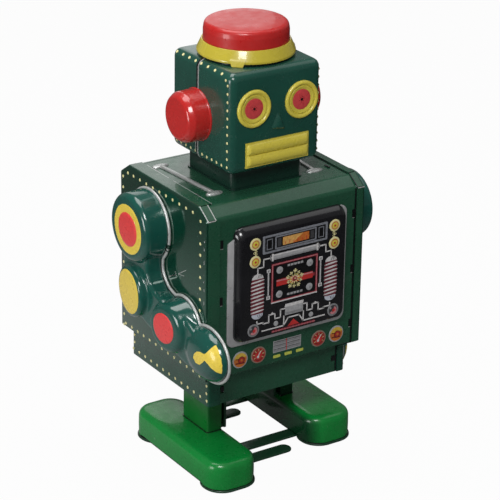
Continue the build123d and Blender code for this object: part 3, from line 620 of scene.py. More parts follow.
# ============================================================ body casing
WALL = 0.4
HALF_X, HALF_Y, TOP = 27.0, 23.7, 85.5
CHAMFER_Y, CHAMFER_Z = 4.6, 3.2         # sloping strip along the front and back top edges
FLAT_Y = HALF_Y - CHAMFER_Y
CHAMFER_FOOT = TOP - CHAMFER_Z
JOG_TOP, SKIRT_TOP, SKIRT_FOOT = 33.2, 31.6, 23.0
SKIRT_X, SKIRT_FRONT, SKIRT_BACK = 24.0, -20.6, 22.3
SHEET_INSET = WALL + 0.05               # front and rear sheets lie under the side flanges
TAB_Z = (74.4, 57.0, 39.6)
FLANGE_X = {-1: 22.5, 1: 24.3}          # how far in the side panels' flanges reach


def casing_sheet(names, end, skirt_y, top_reach, radii, slots, skirt_slots):
    """Front (end = -1) or rear (end = 1) sheet: top, chamfer and wall, then the skirt."""
    skirt_y -= end * SHEET_INSET
    path = round_path([
        (skirt_y, SKIRT_FOOT), (skirt_y, SKIRT_TOP), (end * (HALF_Y - SHEET_INSET), JOG_TOP),
        (end * (HALF_Y - SHEET_INSET), CHAMFER_FOOT - 0.19),
        (end * (FLAT_Y + 0.26), TOP - SHEET_INSET), (top_reach, TOP - SHEET_INSET),
    ], radii, 5)
    main = [point for point in path if point[1] >= JOG_TOP - 0.9]
    skirt = [point for point in path if point[1] <= JOG_TOP - 0.2]
    skin = make(names[0] + "_skin", bent_sheet(main, end * WALL, 26.1), GREEN_BODY,
                "body_green", replaces=names[0])
    cut(skin, slots)
    skin = make(names[1] + "_skin", bent_sheet(skirt, end * WALL, 23.1), GREEN_BODY,
                "body_green")
    cut(skin, skirt_slots)


casing_sheet(
    ("front_shell", "front_skirt"), -1, SKIRT_FRONT, 18.4, [0, 0.9, 0.9, 2.0, 2.0, 0],
    [(side * (FLANGE_X[side] + 0.4), side * (FLANGE_X[side] - 1.3), -26, -20, z - 1.3, z + 1.3)
     for side in (-1, 1) for z in TAB_Z],
    [(19.4, 20.9, -25, -15, 26.6, 28.4), (-19.7, -18.4, -25, -15, 26.2, 28.6)])
casing_sheet(
    ("rear_cover", "rear_skirt"), 1, SKIRT_BACK, 18.6, [0, 0.9, 0.9, 1.6, 0.2, 0],
    [(side * 22.05 - 0.75, side * 22.05 + 0.75, 20, 26, z - 1.3, z + 1.3)
     for side in (-1, 1) for z in TAB_Z], [])


# ---- side panels: a pressed face with flanges folded round the edges
def side_outline(inset):
    """Open (y, z) outline from the front foot over the top to the back foot."""
    slant = inset * 0.42
    front = [(-HALF_Y + inset, JOG_TOP), (-HALF_Y + inset, CHAMFER_FOOT - slant),
             (-FLAT_Y + slant, TOP - inset)]
    return round_path(front + [(-y, z) for y, z in front[::-1]], [0, 0.7, 0.7, 0.7, 0.7, 0], 4)


def side_panel_skin(side, name):
    flange = FLANGE_X[side]
    # (x, inset) from the flange's free edge out to the face
    levels = [(flange, WALL), (flange, 0.0), (26.1, 0.0), (26.45, 0.03), (26.75, 0.14),
              (26.93, 0.34), (HALF_X, 0.62)]
    rings = [at_x(side_outline(inset), side * x) for x, inset in levels]
    rows, count = len(rings), len(rings[0])
    verts = sum(rings, [])
    faces = []
    for j in range(rows - 1):
        for i in range(count - 1):
            a = j * count + i
            faces.append([a, a + 1, a + 1 + count, a + count])
    # the face, then the inside skins
    faces.append([(rows - 1) * count + i for i in range(count)])
    inside = len(verts)
    verts += at_x(side_outline(WALL), side * (HALF_X - WALL))
    faces.append([inside + i for i in range(count)])
    faces += [[i, i + 1, inside + i + 1, inside + i] for i in range(count - 1)]
    # close the foot edge
    front_foot = [j * count for j in range(rows)] + [inside]
    back_foot = [i + count - 1 for i in front_foot]
    faces += [front_foot, back_foot,
              [front_foot[-2], front_foot[-1], back_foot[-1], back_foot[-2]]]
    flange_faces = 3 * (count - 1)
    panel = make(name + "_skin", (verts, faces), [GREEN_SIDE, GREEN_BODY], "body_green",
                 replaces=name,
                 face_materials=[int(i < flange_faces) for i in range(len(faces))])
    # slits that part the flange at the chamfer's corners, and clearance inside its strip
    gap = 0.16
    x0, x1 = side * 22.0, side * 26.2
    slits = []
    for end in (-1, 1):
        slits += [
            (x0, x1, end * HALF_Y - 1, end * HALF_Y + 1, CHAMFER_FOOT - gap, CHAMFER_FOOT + gap),
            (x0, x1, end * FLAT_Y - gap, end * FLAT_Y + gap, TOP - 1, TOP + 1),
            (x0, side * (24.1 if side < 0 else 24.35), end * (HALF_Y + 1), end * FLAT_Y,
             CHAMFER_FOOT + 0.05, TOP + 1),
        ]
    cut(panel, slits)


def side_skirt(side, name):
    """Jog and skirt below a side panel, with their own folded flanges."""
    flange = FLANGE_X[side]
    inner = 20.0 + (1.3 if side > 0 else 0.0)
    rings = []
    for z, x, front, back, x_inner in (
            (SKIRT_FOOT, SKIRT_X, SKIRT_FRONT, SKIRT_BACK, inner),
            (SKIRT_TOP - 0.5, SKIRT_X, SKIRT_FRONT, SKIRT_BACK, inner),
            (SKIRT_TOP + 0.05, SKIRT_X + 0.2, SKIRT_FRONT - 0.2, SKIRT_BACK + 0.12, inner + 0.4),
            (JOG_TOP - 0.25, HALF_X - 0.45, -HALF_Y + 0.4, HALF_Y - 0.25, flange - 0.2),
            (JOG_TOP + 0.3, HALF_X, -HALF_Y, HALF_Y, flange)):
        outer = round_path([(x_inner, front), (x, front), (x, back), (x_inner, back)],
                           [0, 0.9, 0.9, 0], 4)
        rings.append(at_z(mirrored(side, outer + offset_path(outer, WALL)[::-1]), z))
    make(name + "_skirt", loft(rings), GREEN_SKIRT, "body_green")


for side, side_name in SIDES:
    side_panel_skin(side, side_name + "_side_panel")
    side_skirt(side, side_name + "_side_panel")


# ---- tongues, slot shadows and bright slot lips
def slot_details():
    shadows, lips, tongues = [], [], []
    for side in (-1, 1):
        x0, x1 = side * (FLANGE_X[side] + 0.3), side * (FLANGE_X[side] - 1.2)
        middle = side * (FLANGE_X[side] - 0.1)
        for z in TAB_Z:
            shadows.append((x0, x1, -HALF_Y + 0.38, -HALF_Y + 0.9, z - 1.2, z + 1.2))
            lips.append((x0, x1, -HALF_Y + 0.36, -HALF_Y + 0.6, z - 1.36, z - 1.24))
            tongues.append((middle - 0.3, middle + 0.3, -HALF_Y + 0.9, -HALF_Y + 2.4,
                            z - 0.75, z + 0.75))
        x0, x1 = (-19.6, -18.5) if side < 0 else (19.5, 20.8)
        shadows.append((x0, x1, SKIRT_FRONT + 0.34, SKIRT_FRONT + 0.8, 26.7, 28.3))
    tongues += [(side * 22.0 - 0.32, side * 22.0 + 0.32, HALF_Y - 2.4, HALF_Y - 0.1,
                 z - 0.75, z + 0.75) for side in (-1, 1) for z in TAB_Z]
    make("slot_shadows", boxes(shadows), BLACK_INK, "body_green")
    make("slot_lips", boxes(lips), EDGE, "bare_tin")
    make("panel_tongues", boxes(tongues), GREEN_NECK, "body_green")
    # black slips at the slots on the top: painted shadow inside the slots
    make("top_slot_painted_shadows", boxes([
        (side * 22.3 - 0.3, side * 22.3 + 0.3, y - 1.1, y + 1.1, TOP - 0.32, TOP - 0.05)
        for side in (-1, 1) for y in (-11.2, 11.6)]), BLACK_INK, "body_green")


slot_details()

# ---- raised beads on the top, each with a leaf across either end
BEAD_FRONT, BEAD_BACK = -11.8, 14.0
BEAD_BASE, BEAD_HALF_WIDTH = TOP - 0.5, 0.78


def bead_x(side, y, shift=0.0):
    """The beads draw apart towards the back."""
    return side * (17.15 + 2.0 * (y + 12.0) / 26.2) + shift


def leaf(x, y):
    """A pointed oval, longer across the robot."""
    rings = []
    height = 0.6
    for scale, lift in ((1.0, 0.0), (1.0, 0.3 * height), (0.86, 0.75 * height),
                        (0.6, height), (0.2, height + 0.03)):
        rings.append(at_z([
            (x + 2.75 * scale * across,
             y + 1.35 * scale * math.copysign(abs(along) ** 1.08, along))
            for across, along in circle(0, 0, 1.0, 28)], BEAD_BASE + lift))
    return loft(rings)


def bead(side):
    rings = []
    for scale, lift in ((1.0, 0.0), (1.0, 0.28), (0.8, 0.5), (0.45, 0.64), (0.1, 0.68)):
        outline = rounded_rect(-BEAD_HALF_WIDTH * scale, BEAD_HALF_WIDTH * scale,
                               BEAD_FRONT - 0.2 * scale, BEAD_BACK + 0.2 * scale,
                               0.3 * scale, 3)
        rings.append(at_z([(bead_x(side, y, x), y) for x, y in outline], BEAD_BASE + lift))
    return merge([loft(rings), leaf(bead_x(side, BEAD_FRONT), BEAD_FRONT - 0.2),
                  leaf(bead_x(side, BEAD_BACK), BEAD_BACK + 0.1)])


def bead_shade_strips():
    """Painted shade: a flat dark strip along each side of each bead."""
    shade_strips = []
    for side in (-1, 1):
        for left, right in ((BEAD_HALF_WIDTH, 1.05), (-1.0, -BEAD_HALF_WIDTH)):
            outline = [(bead_x(side, y, shift), y) for shift, y in (
                (left, -10.8), (right, -10.8), (right, 13.0), (left, 13.0))]
            shade_strips.append(loft([at_z(outline, BEAD_BASE), at_z(outline, TOP - 0.435)]))
    return merge(shade_strips)


for side, side_name in SIDES:
    make(side_name + "_top_bead", bead(side), BEAD, "bare_tin", angle=60)
# dark strips beside the beads: painted shade
make("top_bead_grooves", bead_shade_strips(), GREEN_NECK, "body_green")

# ---- seams: black strips of painted shade in the gaps beside the flanges and along their edges, and bright cut edges
# black strips: painted shade in the flange gaps and on their shaded edges
make("flange_gap_painted_shade", boxes([
    (23.75, 24.34, -HALF_Y + 0.36, -HALF_Y + 0.47, JOG_TOP - 0.2, CHAMFER_FOOT - 0.3),
    (20.75, 21.25, SKIRT_FRONT + 0.32, SKIRT_FRONT + 0.5, SKIRT_FOOT + 0.2, SKIRT_TOP - 0.2),
    (23.9, 24.32, -FLAT_Y + 0.6, 18.0, TOP - 0.47, TOP - 0.36),
    (-22.5, -22.3, -HALF_Y + 0.40, -HALF_Y + 0.47, JOG_TOP + 0.4, CHAMFER_FOOT - 0.9),
    (-22.5, -22.1, HALF_Y - 0.47, HALF_Y - 0.38, JOG_TOP + 0.4, CHAMFER_FOOT - 0.4),
    (22.1, 22.5, HALF_Y - 0.47, HALF_Y - 0.38, JOG_TOP + 0.4, CHAMFER_FOOT - 0.4),
]), BLACK_INK, "body_green")
make("flange_cut_edges", boxes([
    (-22.56, -22.40, -18.9, 1.5, TOP - 0.40, TOP + 0.02),
    (-22.56, -22.40, 3.8, 16.0, TOP - 0.40, TOP + 0.01),
    (-26.72, -24.1, -HALF_Y - 0.02, -HALF_Y + 0.3, CHAMFER_FOOT - 0.22, CHAMFER_FOOT),
    (24.5, 26.72, -HALF_Y - 0.02, -HALF_Y + 0.3, CHAMFER_FOOT - 0.22, CHAMFER_FOOT - 0.05),
]), EDGE, "bare_tin")


def flap_highlight_shade_lines(side):
    """Thin lines down the front chamfer flap: a painted highlight in bright cut-edge metal on the
    right side, painted shade in black on the left.
    """
    normal_y, normal_z = -0.571, 0.821
    strips = []
    for x in (26.62, 24.12) if side < 0 else (24.5,):
        y0, z0 = -HALF_Y - 0.03, CHAMFER_FOOT + 0.1
        y1, z1 = -FLAT_Y - 0.1, TOP - 0.02
        corners = [(side * x, y0, z0), (side * (x - 0.24), y0, z0),
                   (side * (x - 0.24), y1, z1), (side * x, y1, z1)]
        strips.append(loft([[(x, y + normal_y * lift, z + normal_z * lift)
                             for x, y, z in corners] for lift in (-0.1, 0.03)]))
    return merge(strips)


# bright lines on the right flap are painted highlight, black ones on the left painted shade
for side, side_name in SIDES:
    make(side_name + "_flap_highlight_shade_lines", flap_highlight_shade_lines(side), EDGE if side < 0 else BLACK_INK,
         "bare_tin")

# ---- scratches on the right side panel and chips along its front edge, as (y, z)
scratches = Print(lambda y, z, lift: (-HALF_X - lift, y, z))
for start, end in (((-7.0, 61.6), (-7.8, 60.2)), ((-8.6, 61.3), (-12.9, 64.0)),
                   ((-8.6, 61.3), (-11.9, 61.9))):
    scratches.line([start, end], 0.16, EDGE, 0.0, 0.03)
for i in range(9):
    chip_y = 0.05 * (i % 4)
    chip_z = 76.5 - 4.1 * i + (0.9 if i % 3 else -0.6)
    scratches.rect(-22.62 + chip_y, -22.4 + chip_y, chip_z, chip_z + 0.5 + 0.35 * (i % 3),
                   EDGE, 0.0, 0.03)
scratches.build("side_scratches", "bare_tin")

# ---- neck collar
COLLAR_HALF, COLLAR_Y = 11.9, -1.2


def collar_ring(grow, radius, z):
    half = COLLAR_HALF + grow
    return at_z(rounded_rect(-half, half, COLLAR_Y - half, COLLAR_Y + half, radius, 5), z)


# rings as (growth, corner radius, z)
make("neck_collar_skin", tube([collar_ring(*ring) for ring in (
    (-0.5, 1.6, 85.2), (0.0, 1.6, 85.45), (0.0, 1.6, 90.7), (-0.15, 1.6, 91.0),
    (-WALL, 1.2, 91.0), (-WALL, 1.2, 85.2))]),
    GREEN_NECK, "body_green", replaces="neck_collar")
make("neck_collar_foot", tube([collar_ring(*ring) for ring in (
    (0.5, 1.9, 85.12), (0.5, 1.9, 85.4), (-0.1, 1.6, 85.4), (-0.1, 1.6, 85.12))]),
    GREEN_NECK, "body_green")

# ============================================================ chest panel
CHEST_Y = -HALF_Y + WALL        # where the panel sits on the front sheet
PANE_Y = -26.0                  # pane face


def chest_margin():
    outer = round_path([(-19.9, 41.9), (20.8, 41.9), (20.8, 78.2), (-12.5, 77.6),
                        (-17.5, 75.4), (-19.9, 74.2)], [2.4, 2.4, 2.4, 0.6, 0.6, 1.0], 6, True)
    inner = offset_path(outer, 0.18, True)
    make("chest_margin_skin", loft([at_y(outer, CHEST_Y), at_y(outer, CHEST_Y - 0.26),
                                    at_y(inner, CHEST_Y - 0.4)]),
         SILVER, "chest_litho", replaces="chest_panel", angle=45)


def pane_ring(slope, y, grow=0.0):
    """slope = 0 at the foot of the pane's wall, 1 at the edge of its face."""
    return at_y(rounded_rect(
        -17.8 + 1.35 * slope - grow, 19.6 - slope + grow,
        43.2 + 1.25 * slope - grow, 78.35 - 2.2 * slope + grow, 2.6 - 0.5 * slope, 7), y)


chest_margin()
make("chest_pane_skin", loft([
    pane_ring(0.0, CHEST_Y + 0.05, 0.15),
    pane_ring(0.0, CHEST_Y - 0.42, 0.12),
    pane_ring(0.0, CHEST_Y - 0.75),
    pane_ring(0.16, CHEST_Y - 1.35),
    pane_ring(0.34, CHEST_Y - 1.85),
    pane_ring(0.56, CHEST_Y - 2.28),
    pane_ring(0.80, CHEST_Y - 2.58),
    pane_ring(1.0, PANE_Y + 0.02),
    pane_ring(1.12, PANE_Y),
]), BLACK, "chest_litho", angle=45)

# ---- printed works on the pane, as (x, z), centred a little to the robot's left
CHEST_X = 1.3
LAY0, LAY1, LAY2, LAY3, LAY4 = 0.0, 0.03, 0.06, 0.09, 0.12     # heights of stacked prints
chest = Print(lambda x, z, lift: (x + CHEST_X, PANE_Y - lift, z))


def chest_buttons(side):
    """Round buttons with a zigzag link."""
    x = side * 13.6
    for z in (73.5, 68.1):
        chest.turned([(1.85, 0.0), (1.85, 0.06), (1.7, 0.16), (1.4, 0.2)], x, z, CREAM)
        chest.ring(x, z, 0.95, 1.25, ORANGE, 0.18, 0.225)
        chest.turned([(0.95, 0.15), (0.9, 0.24), (0.5, 0.27)], x, z, YELLOW_PRINT, 20)
        chest.disc(x, z, 0.36, RED_PRINT, 0.25, 0.3, 12)
    zigzag = [(13.6, 71.7), (13.1, 71.2), (14.1, 70.8), (13.1, 70.4), (13.6, 69.9)]
    # the steps run the same way on both sides, except that the whole is mirrored
    chest.line(mirrored(side, zigzag), 0.42, CREAM, LAY0, LAY2)


def chest_coil(side):
    """Pale windings round a dark red core, domed at both ends."""
    middle = side * 12.65
    low, high = 52.2, 62.2

    def half_width(z):
        rise = min(1.0, min(z - (low - 1.7), (high + 1.7) - z) / 2.6)
        return 2.35 * sqrt(max(0.0, 1 - (1 - max(0.0, rise)) ** 2))

    heights = [low - 1.6 + (high - low + 3.2) * i / 30 for i in range(31)]
    core = [(middle + half_width(z) * 0.93, z) for z in heights]
    core += [(middle - (x - middle), z) for x, z in core[::-1]]
    chest.slab(core, COIL_RED, LAY0, LAY1)
    windings = 9
    sweep = [-1 + k / 4 for k in range(9)]
    for i in range(windings):
        z = low + 0.35 + (high - low - 0.7) * i / (windings - 1)
        width = half_width(z) + 0.02
        turn = [(middle + width * t, z + 0.27 * sqrt(1 - t * t) + 0.01 + 0.2 * t)
                for t in sweep]
        turn += [(middle + width * t, z - 0.23 * sqrt(1 - t * t) - 0.01 + 0.2 * t)
                 for t in sweep[::-1]]
        chest.slab(turn, WHITE, LAY1, LAY3)
    for z, way in ((high + 0.55, 1), (low - 0.55, -1)):
        dome = [(middle + 1.95 * cos(pi * k / 12), z + way * (1.55 * sin(pi * k / 12) - 0.1))
                for k in range(13)]
        chest.slab(dome, WHITE if way > 0 else BLUE_WHITE, LAY1, LAY3)
        for x in (-0.9, -0.2, 0.5):
            chest.line([(middle + x + 0.9, z + way * 0.1),
                        (middle + x * 0.5 + 0.9, z + way * 1.15)], 0.16, DARK_GREY, LAY3, LAY4)


def chest_rod(side):
    """Upright rod beside the frame, capped top and bottom."""
    x = side * 9.0
    chest.rect(x - 0.28, x + 0.28, 56.1, 64.2, GREY, LAY0, LAY2)
    chest.rect(x - 0.10, x + 0.10, 56.3, 64.0, WHITE, LAY2, LAY3)
    for z in (56.0, 64.3):
        chest.rect(x - 0.62, x + 0.62, z - 0.55, z + 0.55, WHITE, LAY2, LAY3, 0.15)
        chest.rect(x - 0.36, x + 0.36, z - 0.22, z + 0.22, GREY, LAY3, LAY4)


def chest_conductors(side):
    """A line from the tube down to the coil, and a crenellated one from the coil to the box."""
    chest.line(mirrored(side, [(7.9, 68.2), (10.7, 68.2), (10.7, 65.9), (12.65, 65.9),
                               (12.65, 63.9)]), 0.36, WHITE, LAY0, LAY2)
    chest.line(mirrored(side, [
        (12.65, 49.6), (12.65, 48.6), (10.5, 48.6), (10.5, 48.2), (8.6, 48.2), (8.6, 50.5),
        (6.5, 50.5), (6.5, 48.9), (4.6, 48.9), (4.6, 51.3), (3.0, 51.3)]),
        0.38, WHITE, LAY0, LAY2)
    chest.disc(side * 7.5, 50.7, 0.42, WHITE, LAY2, LAY3, 12)


def chest_caps(side):
    """Plain caps in the frame, round caps in the lower corners, small caps, the lower line."""
    x = side * 5.2
    for z in (63.8, 56.3):
        chest.turned([(1.1, 0.05), (1.08, 0.12), (0.8, 0.17), (0.3, 0.19)], x, z,
                     LIGHT_GREY, 28)
        chest.disc(x + 0.2, z - 0.2, 0.35, GREY, 0.18, 0.2, 12)
    x = side * 13.85
    chest.turned([(1.95, 0.0), (1.95, 0.06), (1.8, 0.13), (1.45, 0.13)], x, 46.9, GREY)
    chest.turned([(1.5, 0.1), (1.45, 0.15), (1.0, 0.16)], x, 46.9, DARK_GREY, 30)
    sweep = range(-150, 71, 20)
    chest.slab(arc(x, 46.8, 1.25, sweep) + arc(x, 46.8, 0.55, sweep[::-1]), PINK, 0.16, 0.2)
    chest.disc(x + 0.2, 46.8, 0.5, RED_PRINT, 0.18, 0.215, 16)
    chest.disc(x - 0.9, 47.6, 0.3, LIGHT_GREY, 0.18, 0.2, 12)
    chest.turned([(0.78, 0.0), (0.76, 0.1), (0.4, 0.14)], side * 6.1, 47.3, LIGHT_GREY, 20)
    chest.line(mirrored(side, [(11.0, 46.0), (3.4, 46.0), (1.9, 48.2), (0, 48.2)]),
               0.38, WHITE, LAY0, LAY2)
    chest.rect(side * 3.4 - 0.19, side * 3.4 + 0.19, 45.9, 49.1, WHITE, LAY0, LAY2)


def chest_display():
    """Dotted grey frames round dark cells and an orange window."""
    chest.rect(-11.1, 11.1, 69.75, 75.25, DOTTED_GREY, LAY0, LAY2, 0.3)
    chest.rect(-10.35, 10.35, 70.4, 74.6, BLACK_INK, LAY2, LAY3, 0.2)
    chest.rect(-7.0, 7.2, 70.55, 74.45, DOTTED_GREY, LAY3, LAY4, 0.2)
    chest.rect(-6.5, 6.7, 70.95, 74.05, BLACK_INK, LAY4, 0.14, 0.1)
    for x0, x1 in ((-9.8, -7.8), (7.9, 9.8)):
        chest.frame(x0, x1, 70.9, 74.1, 0.22, DOTTED_GREY, LAY3, LAY4)
    for x0, x1 in ((-6.1, -4.9), (5.1, 6.3)):
        chest.rect(x0, x1, 71.3, 73.7, DARK_GREY, 0.14, 0.16)
    chest.rect(-4.4, 4.6, 71.35, 73.75, ORANGE, 0.14, 0.17)
    chest.slab([(-4.4, 71.35), (-1.0, 71.35), (2.6, 73.75), (-4.4, 73.75)], AMBER, 0.17, 0.18)
    for i in range(6):
        x = -3.5 + 7.2 * i / 5
        chest.rect(x - 0.1, x + 0.1, 71.5, 72.0 + (0.6 if i % 2 else 0.3), RED_PRINT, 0.18, 0.2)


def chest_tube():
    """Level tube under the display."""
    chest.rect(-7.7, 7.7, 67.35, 69.05, LIGHT_GREY, LAY0, LAY2)
    chest.rect(-7.5, 7.5, 68.6, 68.95, WHITE, LAY2, LAY3)
    chest.rect(-7.5, 7.5, 67.45, 67.75, GREY, LAY2, LAY3)
    for side in (-1, 1):
        chest.rect(side * 7.7 - 0.3, side * 7.7 + 0.3, 67.1, 69.3, WHITE, LAY2, LAY4)
        chest.rect(side * 8.35 - 0.16, side * 8.35 + 0.16, 67.5, 68.9, GREY, LAY0, LAY2)


def chest_starburst():
    """Red-edged frame with a starburst on a red bar."""
    middle_z = 60.0
    chest.rect(-7.95, 7.95, 53.9, 66.1, BLACK_INK, LAY0, LAY1, 0.1)
    chest.frame(-7.95, 7.95, 53.9, 66.1, 0.62, FRAME_RED, LAY1, LAY2)
    chest.frame(-7.75, 7.75, 54.1, 65.9, 0.2, PINK, LAY2, LAY3)
    chest.rect(-7.95, 7.95, 53.85, 54.2, WHITE, LAY2, LAY4)
    for z in (64.65, 55.65):
        for i in range(5):
            x = -2.5 + i * 1.12
            chest.rect(x, x + 0.86, z - 0.32, z + 0.32, LIGHT_GREY, LAY2, LAY3)
    chest.rect(-6.2, 6.3, 58.9, 60.9, RED_PRINT, LAY1, LAY2)
    chest.rect(-6.2, 6.3, 60.35, 60.75, PINK, LAY2, LAY3)
    chest.rect(6.3, 7.0, 59.4, 60.4, FRAME_RED, LAY1, LAY2)

    def polar(radius, angle):
        return radius * cos(angle), middle_z + radius * sin(angle)

    for i in range(10):
        angle = 2 * pi * i / 10 + 0.26
        reach = 3.15 if i % 2 == 0 else 2.75
        chest.line([polar(0.8, angle), polar(reach, angle)], 0.34, CREAM, LAY3, LAY4)
        for turn in (-0.2, 0.2):
            chest.line([polar(1.75, angle), polar(reach - 0.35, angle + turn)],
                       0.3, CREAM, LAY3, LAY4)
    for x, z in circle(0, middle_z, 1.55, 12):
        chest.disc(x, z, 0.2, YELLOW_PRINT, LAY3, LAY4, 8)
    chest.turned([(0.75, LAY3), (0.7, 0.14), (0.4, 0.17)], 0, middle_z, FRAME_RED, 16)
    chest.disc(0.1, 60.1, 0.25, CREAM, 0.16, 0.19, 10)


def chest_foot():
    """Grey box below the frame, a red triangle and a row of red blocks."""
    chest.slab([(-3.2, 51.7), (3.2, 51.7), (3.4, 52.6), (-2.9, 52.6)], WHITE, LAY0, LAY3)
    chest.rect(-3.0, 3.2, 49.1, 51.8, LIGHT_GREY, LAY0, LAY2)
    chest.rect(-2.7, 2.9, 49.3, 50.0, GREY, LAY2, LAY3)
    chest.slab([(-2.0, 45.5), (2.0, 45.5), (0.0, 47.4)], RED_PRINT, LAY0, LAY2)
    for i in range(15):
        chest.rect(-7.4 + i, -6.62 + i, 44.6, 45.3, FRAME_RED, LAY0, LAY2)
    chest.rect(-7.6, 7.6, 44.85, 45.0, PINK, LAY2, LAY3)


for side in (-1, 1):
    for draw in (chest_buttons, chest_coil, chest_rod, chest_conductors, chest_caps):
        draw(side)
for draw in (chest_display, chest_tube, chest_starburst, chest_foot):
    draw()
chest.build("chest_print", "chest_litho", 40)

# ============================================================ prints below the chest
GAUGE_Z = 37.2
front = Print(lambda x, z, lift: (x + 1.75, -HALF_Y + SHEET_INSET - lift, z))


def gauge_rim(x, colour):
    front.turned([(2.6, 0.0), (2.6, 0.08), (2.45, 0.2), (2.25, 0.2)], x, GAUGE_Z, colour, 40)


def outer_gauge(x):
    """Orange below, yellow above, with a red knob."""
    z = GAUGE_Z
    gauge_rim(x, LIGHT_GREY)
    front.disc(x, z, 2.2, ORANGE, 0.18, 0.22)
    front.slab(arc(x, z, 2.2, range(20, 171, 10)), GAUGE_YELLOW, 0.22, 0.25)
    front.ring(x + 0.35, z - 0.1, 0.9, 1.15, DARK_RED, 0.24, 0.28)
    front.turned([(0.95, 0.22), (0.9, 0.32), (0.4, 0.4)], x + 0.35, z - 0.1, GAUGE_RED, 20)
    front.line([(x - 1.7, z + 0.55), (x - 0.5, z + 0.25)], 0.28, DARK_RED, 0.25, 0.28)
    front.disc(x + 0.35, z - 0.1, 0.42, ORANGE, 0.38, 0.42, 14)
    front.line([(x - 1.6, z - 0.9), (x + 1.5, z - 1.2)], 0.34, DARK_RED, 0.22, 0.25)


def inner_gauge(x):
    """Red dial with cream ticks and a white pointer."""
    z = GAUGE_Z
    gauge_rim(x, PALE_PINK)
    front.disc(x, z, 2.2, GAUGE_RED, 0.18, 0.22)
    front.ring(x, z, 1.55, 1.75, DARK_RED, 0.22, 0.24)
    front.turned([(1.1, 0.22), (1.0, 0.25)], x, z - 0.2, RED_PRINT, 20)
    ticks = range(-30, 211, 40)
    for tick in zip(arc(x, z, 1.3, ticks), arc(x, z, 1.9, ticks)):
        front.line(tick, 0.16, CREAM, 0.22, 0.25)
    front.line([(x - 0.5, z - 0.8), (x + 0.7, z + 1.2)], 0.3, WHITE, 0.25, 0.28)
    front.disc(x - 0.3, z - 0.5, 0.42, WHITE, 0.28, 0.3, 14)


def grille():
    """Grey barred plate between the gauges, with lime pads below it."""
    front.rect(-5.4, 4.3, 36.4, 40.1, LIGHT_GREY, 0.0, 0.05)
    for i in range(3):
        z = i * 1.15
        front.rect(-5.2, 4.1, 36.65 + z, 37.25 + z, GREY, 0.05, 0.07)
        front.rect(-5.2, 4.1, 37.35 + z, 37.55 + z, DARK_GREY, 0.05, 0.08)
    front.rect(-0.95, -0.7, 36.4, 40.1, RED_PRINT, 0.07, 0.09)
    for x in (-4.1, -0.1, 3.95):
        front.rect(x - 1.25, x + 1.25, 34.7, 35.6, LIME, 0.0, 0.06, 0.2)


for side in (-1, 1):
    outer_gauge(side * 16.85)
    inner_gauge(side * 10.55)
grille()
front.build("front_print", "chest_litho", 40)


# ============================================================ printed rivet dots
def rivet_dots(name, place, points, radius=0.47, slot="body_green"):
    dots = Print(place)
    for x, y in points:
        dots.turned([(radius, -0.02), (radius, 0.04), (radius * 0.7, 0.09),
                     (radius * 0.3, 0.10)], x, y, DOT_INK, 12)
    dots.build(name, slot, 60)


# (y, z) places: front column, top row, back column, bottom row
PANEL_DOTS = [(-20.4, 81.6 - 3.4 * i) for i in range(15)]
PANEL_DOTS += [(-16.4 + 3.6 * i, 82.95) for i in range(10)] + [(19.2, 82.9)]
PANEL_DOTS += [(22.0, 81.0 - 3.4 * i) for i in range(15)]
PANEL_DOTS += [(-17.0 + 3.45 * i, 34.1) for i in range(12)]
SKIRT_DOTS = [(-19.6 + 3.44 * i, 24.74) for i in range(13)]
SKIRT_DOTS += [(-19.5, 27.1), (-19.5, 29.5), (21.0, 27.1), (21.0, 29.5)]
for side, side_name in SIDES:
    rivet_dots(side_name + "_panel_dots",
               lambda y, z, lift: (side * (HALF_X + lift), y, z), PANEL_DOTS)
    rivet_dots(side_name + "_skirt_dots",
               lambda y, z, lift: (side * (SKIRT_X + lift), y, z), SKIRT_DOTS)

# ============================================================ head
HEAD_X, HEAD_FRONT, HEAD_BACK, HEAD_FOOT, HEAD_TOP = 15.3, -17.0, 14.6, 91.1, 120.9
HEAD_RADIUS = 2.4
REAR_INSET = 0.12       # the rear shell is this much smaller
FACE_X = 0.4            # the face sits a little to the robot's left


def head_half(end, parting_y, way, inset):
    """One half of the box-shaped head; `way` points to the half that is cut away."""
    box = rounded_box(-HEAD_X + inset, HEAD_X - inset, HEAD_FRONT + inset, HEAD_BACK - inset,
                      HEAD_FOOT + inset, HEAD_TOP - inset, HEAD_RADIUS)
    half = make(f"head_{end}_skin", box, GREEN_HEAD, "head_green",
                replaces=f"head_{end}_shell")
    shape = bmesh.new()
    shape.from_mesh(half.data)
    bmesh.ops.bisect_plane(shape, geom=shape.verts[:] + shape.edges[:] + shape.faces[:],
                           plane_co=Vector(to_metres((0, parting_y, 0))),
                           plane_no=(0, way, 0), clear_outer=True)
    shape.to_mesh(half.data)
    shape.free()
    modify(half, "SOLIDIFY", thickness=WALL * 0.001, offset=-1)
    shade(half.data)


def head_hoop(name, y0, y1, outset, inset, material, slot):
    """A band round the head's parting line."""
    outer, inner = (rounded_rect(-HEAD_X - grow, HEAD_X + grow, HEAD_FOOT - grow,
                                 HEAD_TOP + grow, HEAD_RADIUS + grow, 7)
                    for grow in (outset, -inset))
    make(name, tube([at_y(outer, y0), at_y(outer, y1), at_y(inner, y1), at_y(inner, y0)]),
         material, slot, angle=40)


head_half("front", -0.08, 1, 0.0)
head_half("rear", 0.10, -1, REAR_INSET)
head_hoop("head_seam_gap", -0.02, 0.80, 0.05, 0.5, BLACK_INK, "head_green")
head_hoop("head_seam_edge", -0.40, -0.02, 0.08, 0.4, EDGE, "bare_tin")
make("head_seam_tongues", boxes([
    (side * (HEAD_X - 0.5), side * (HEAD_X - 0.06), 0.80, 1.3, HEAD_FOOT + 2.3, 103.5)
    for side in (-1, 1)]), EDGE, "bare_tin")

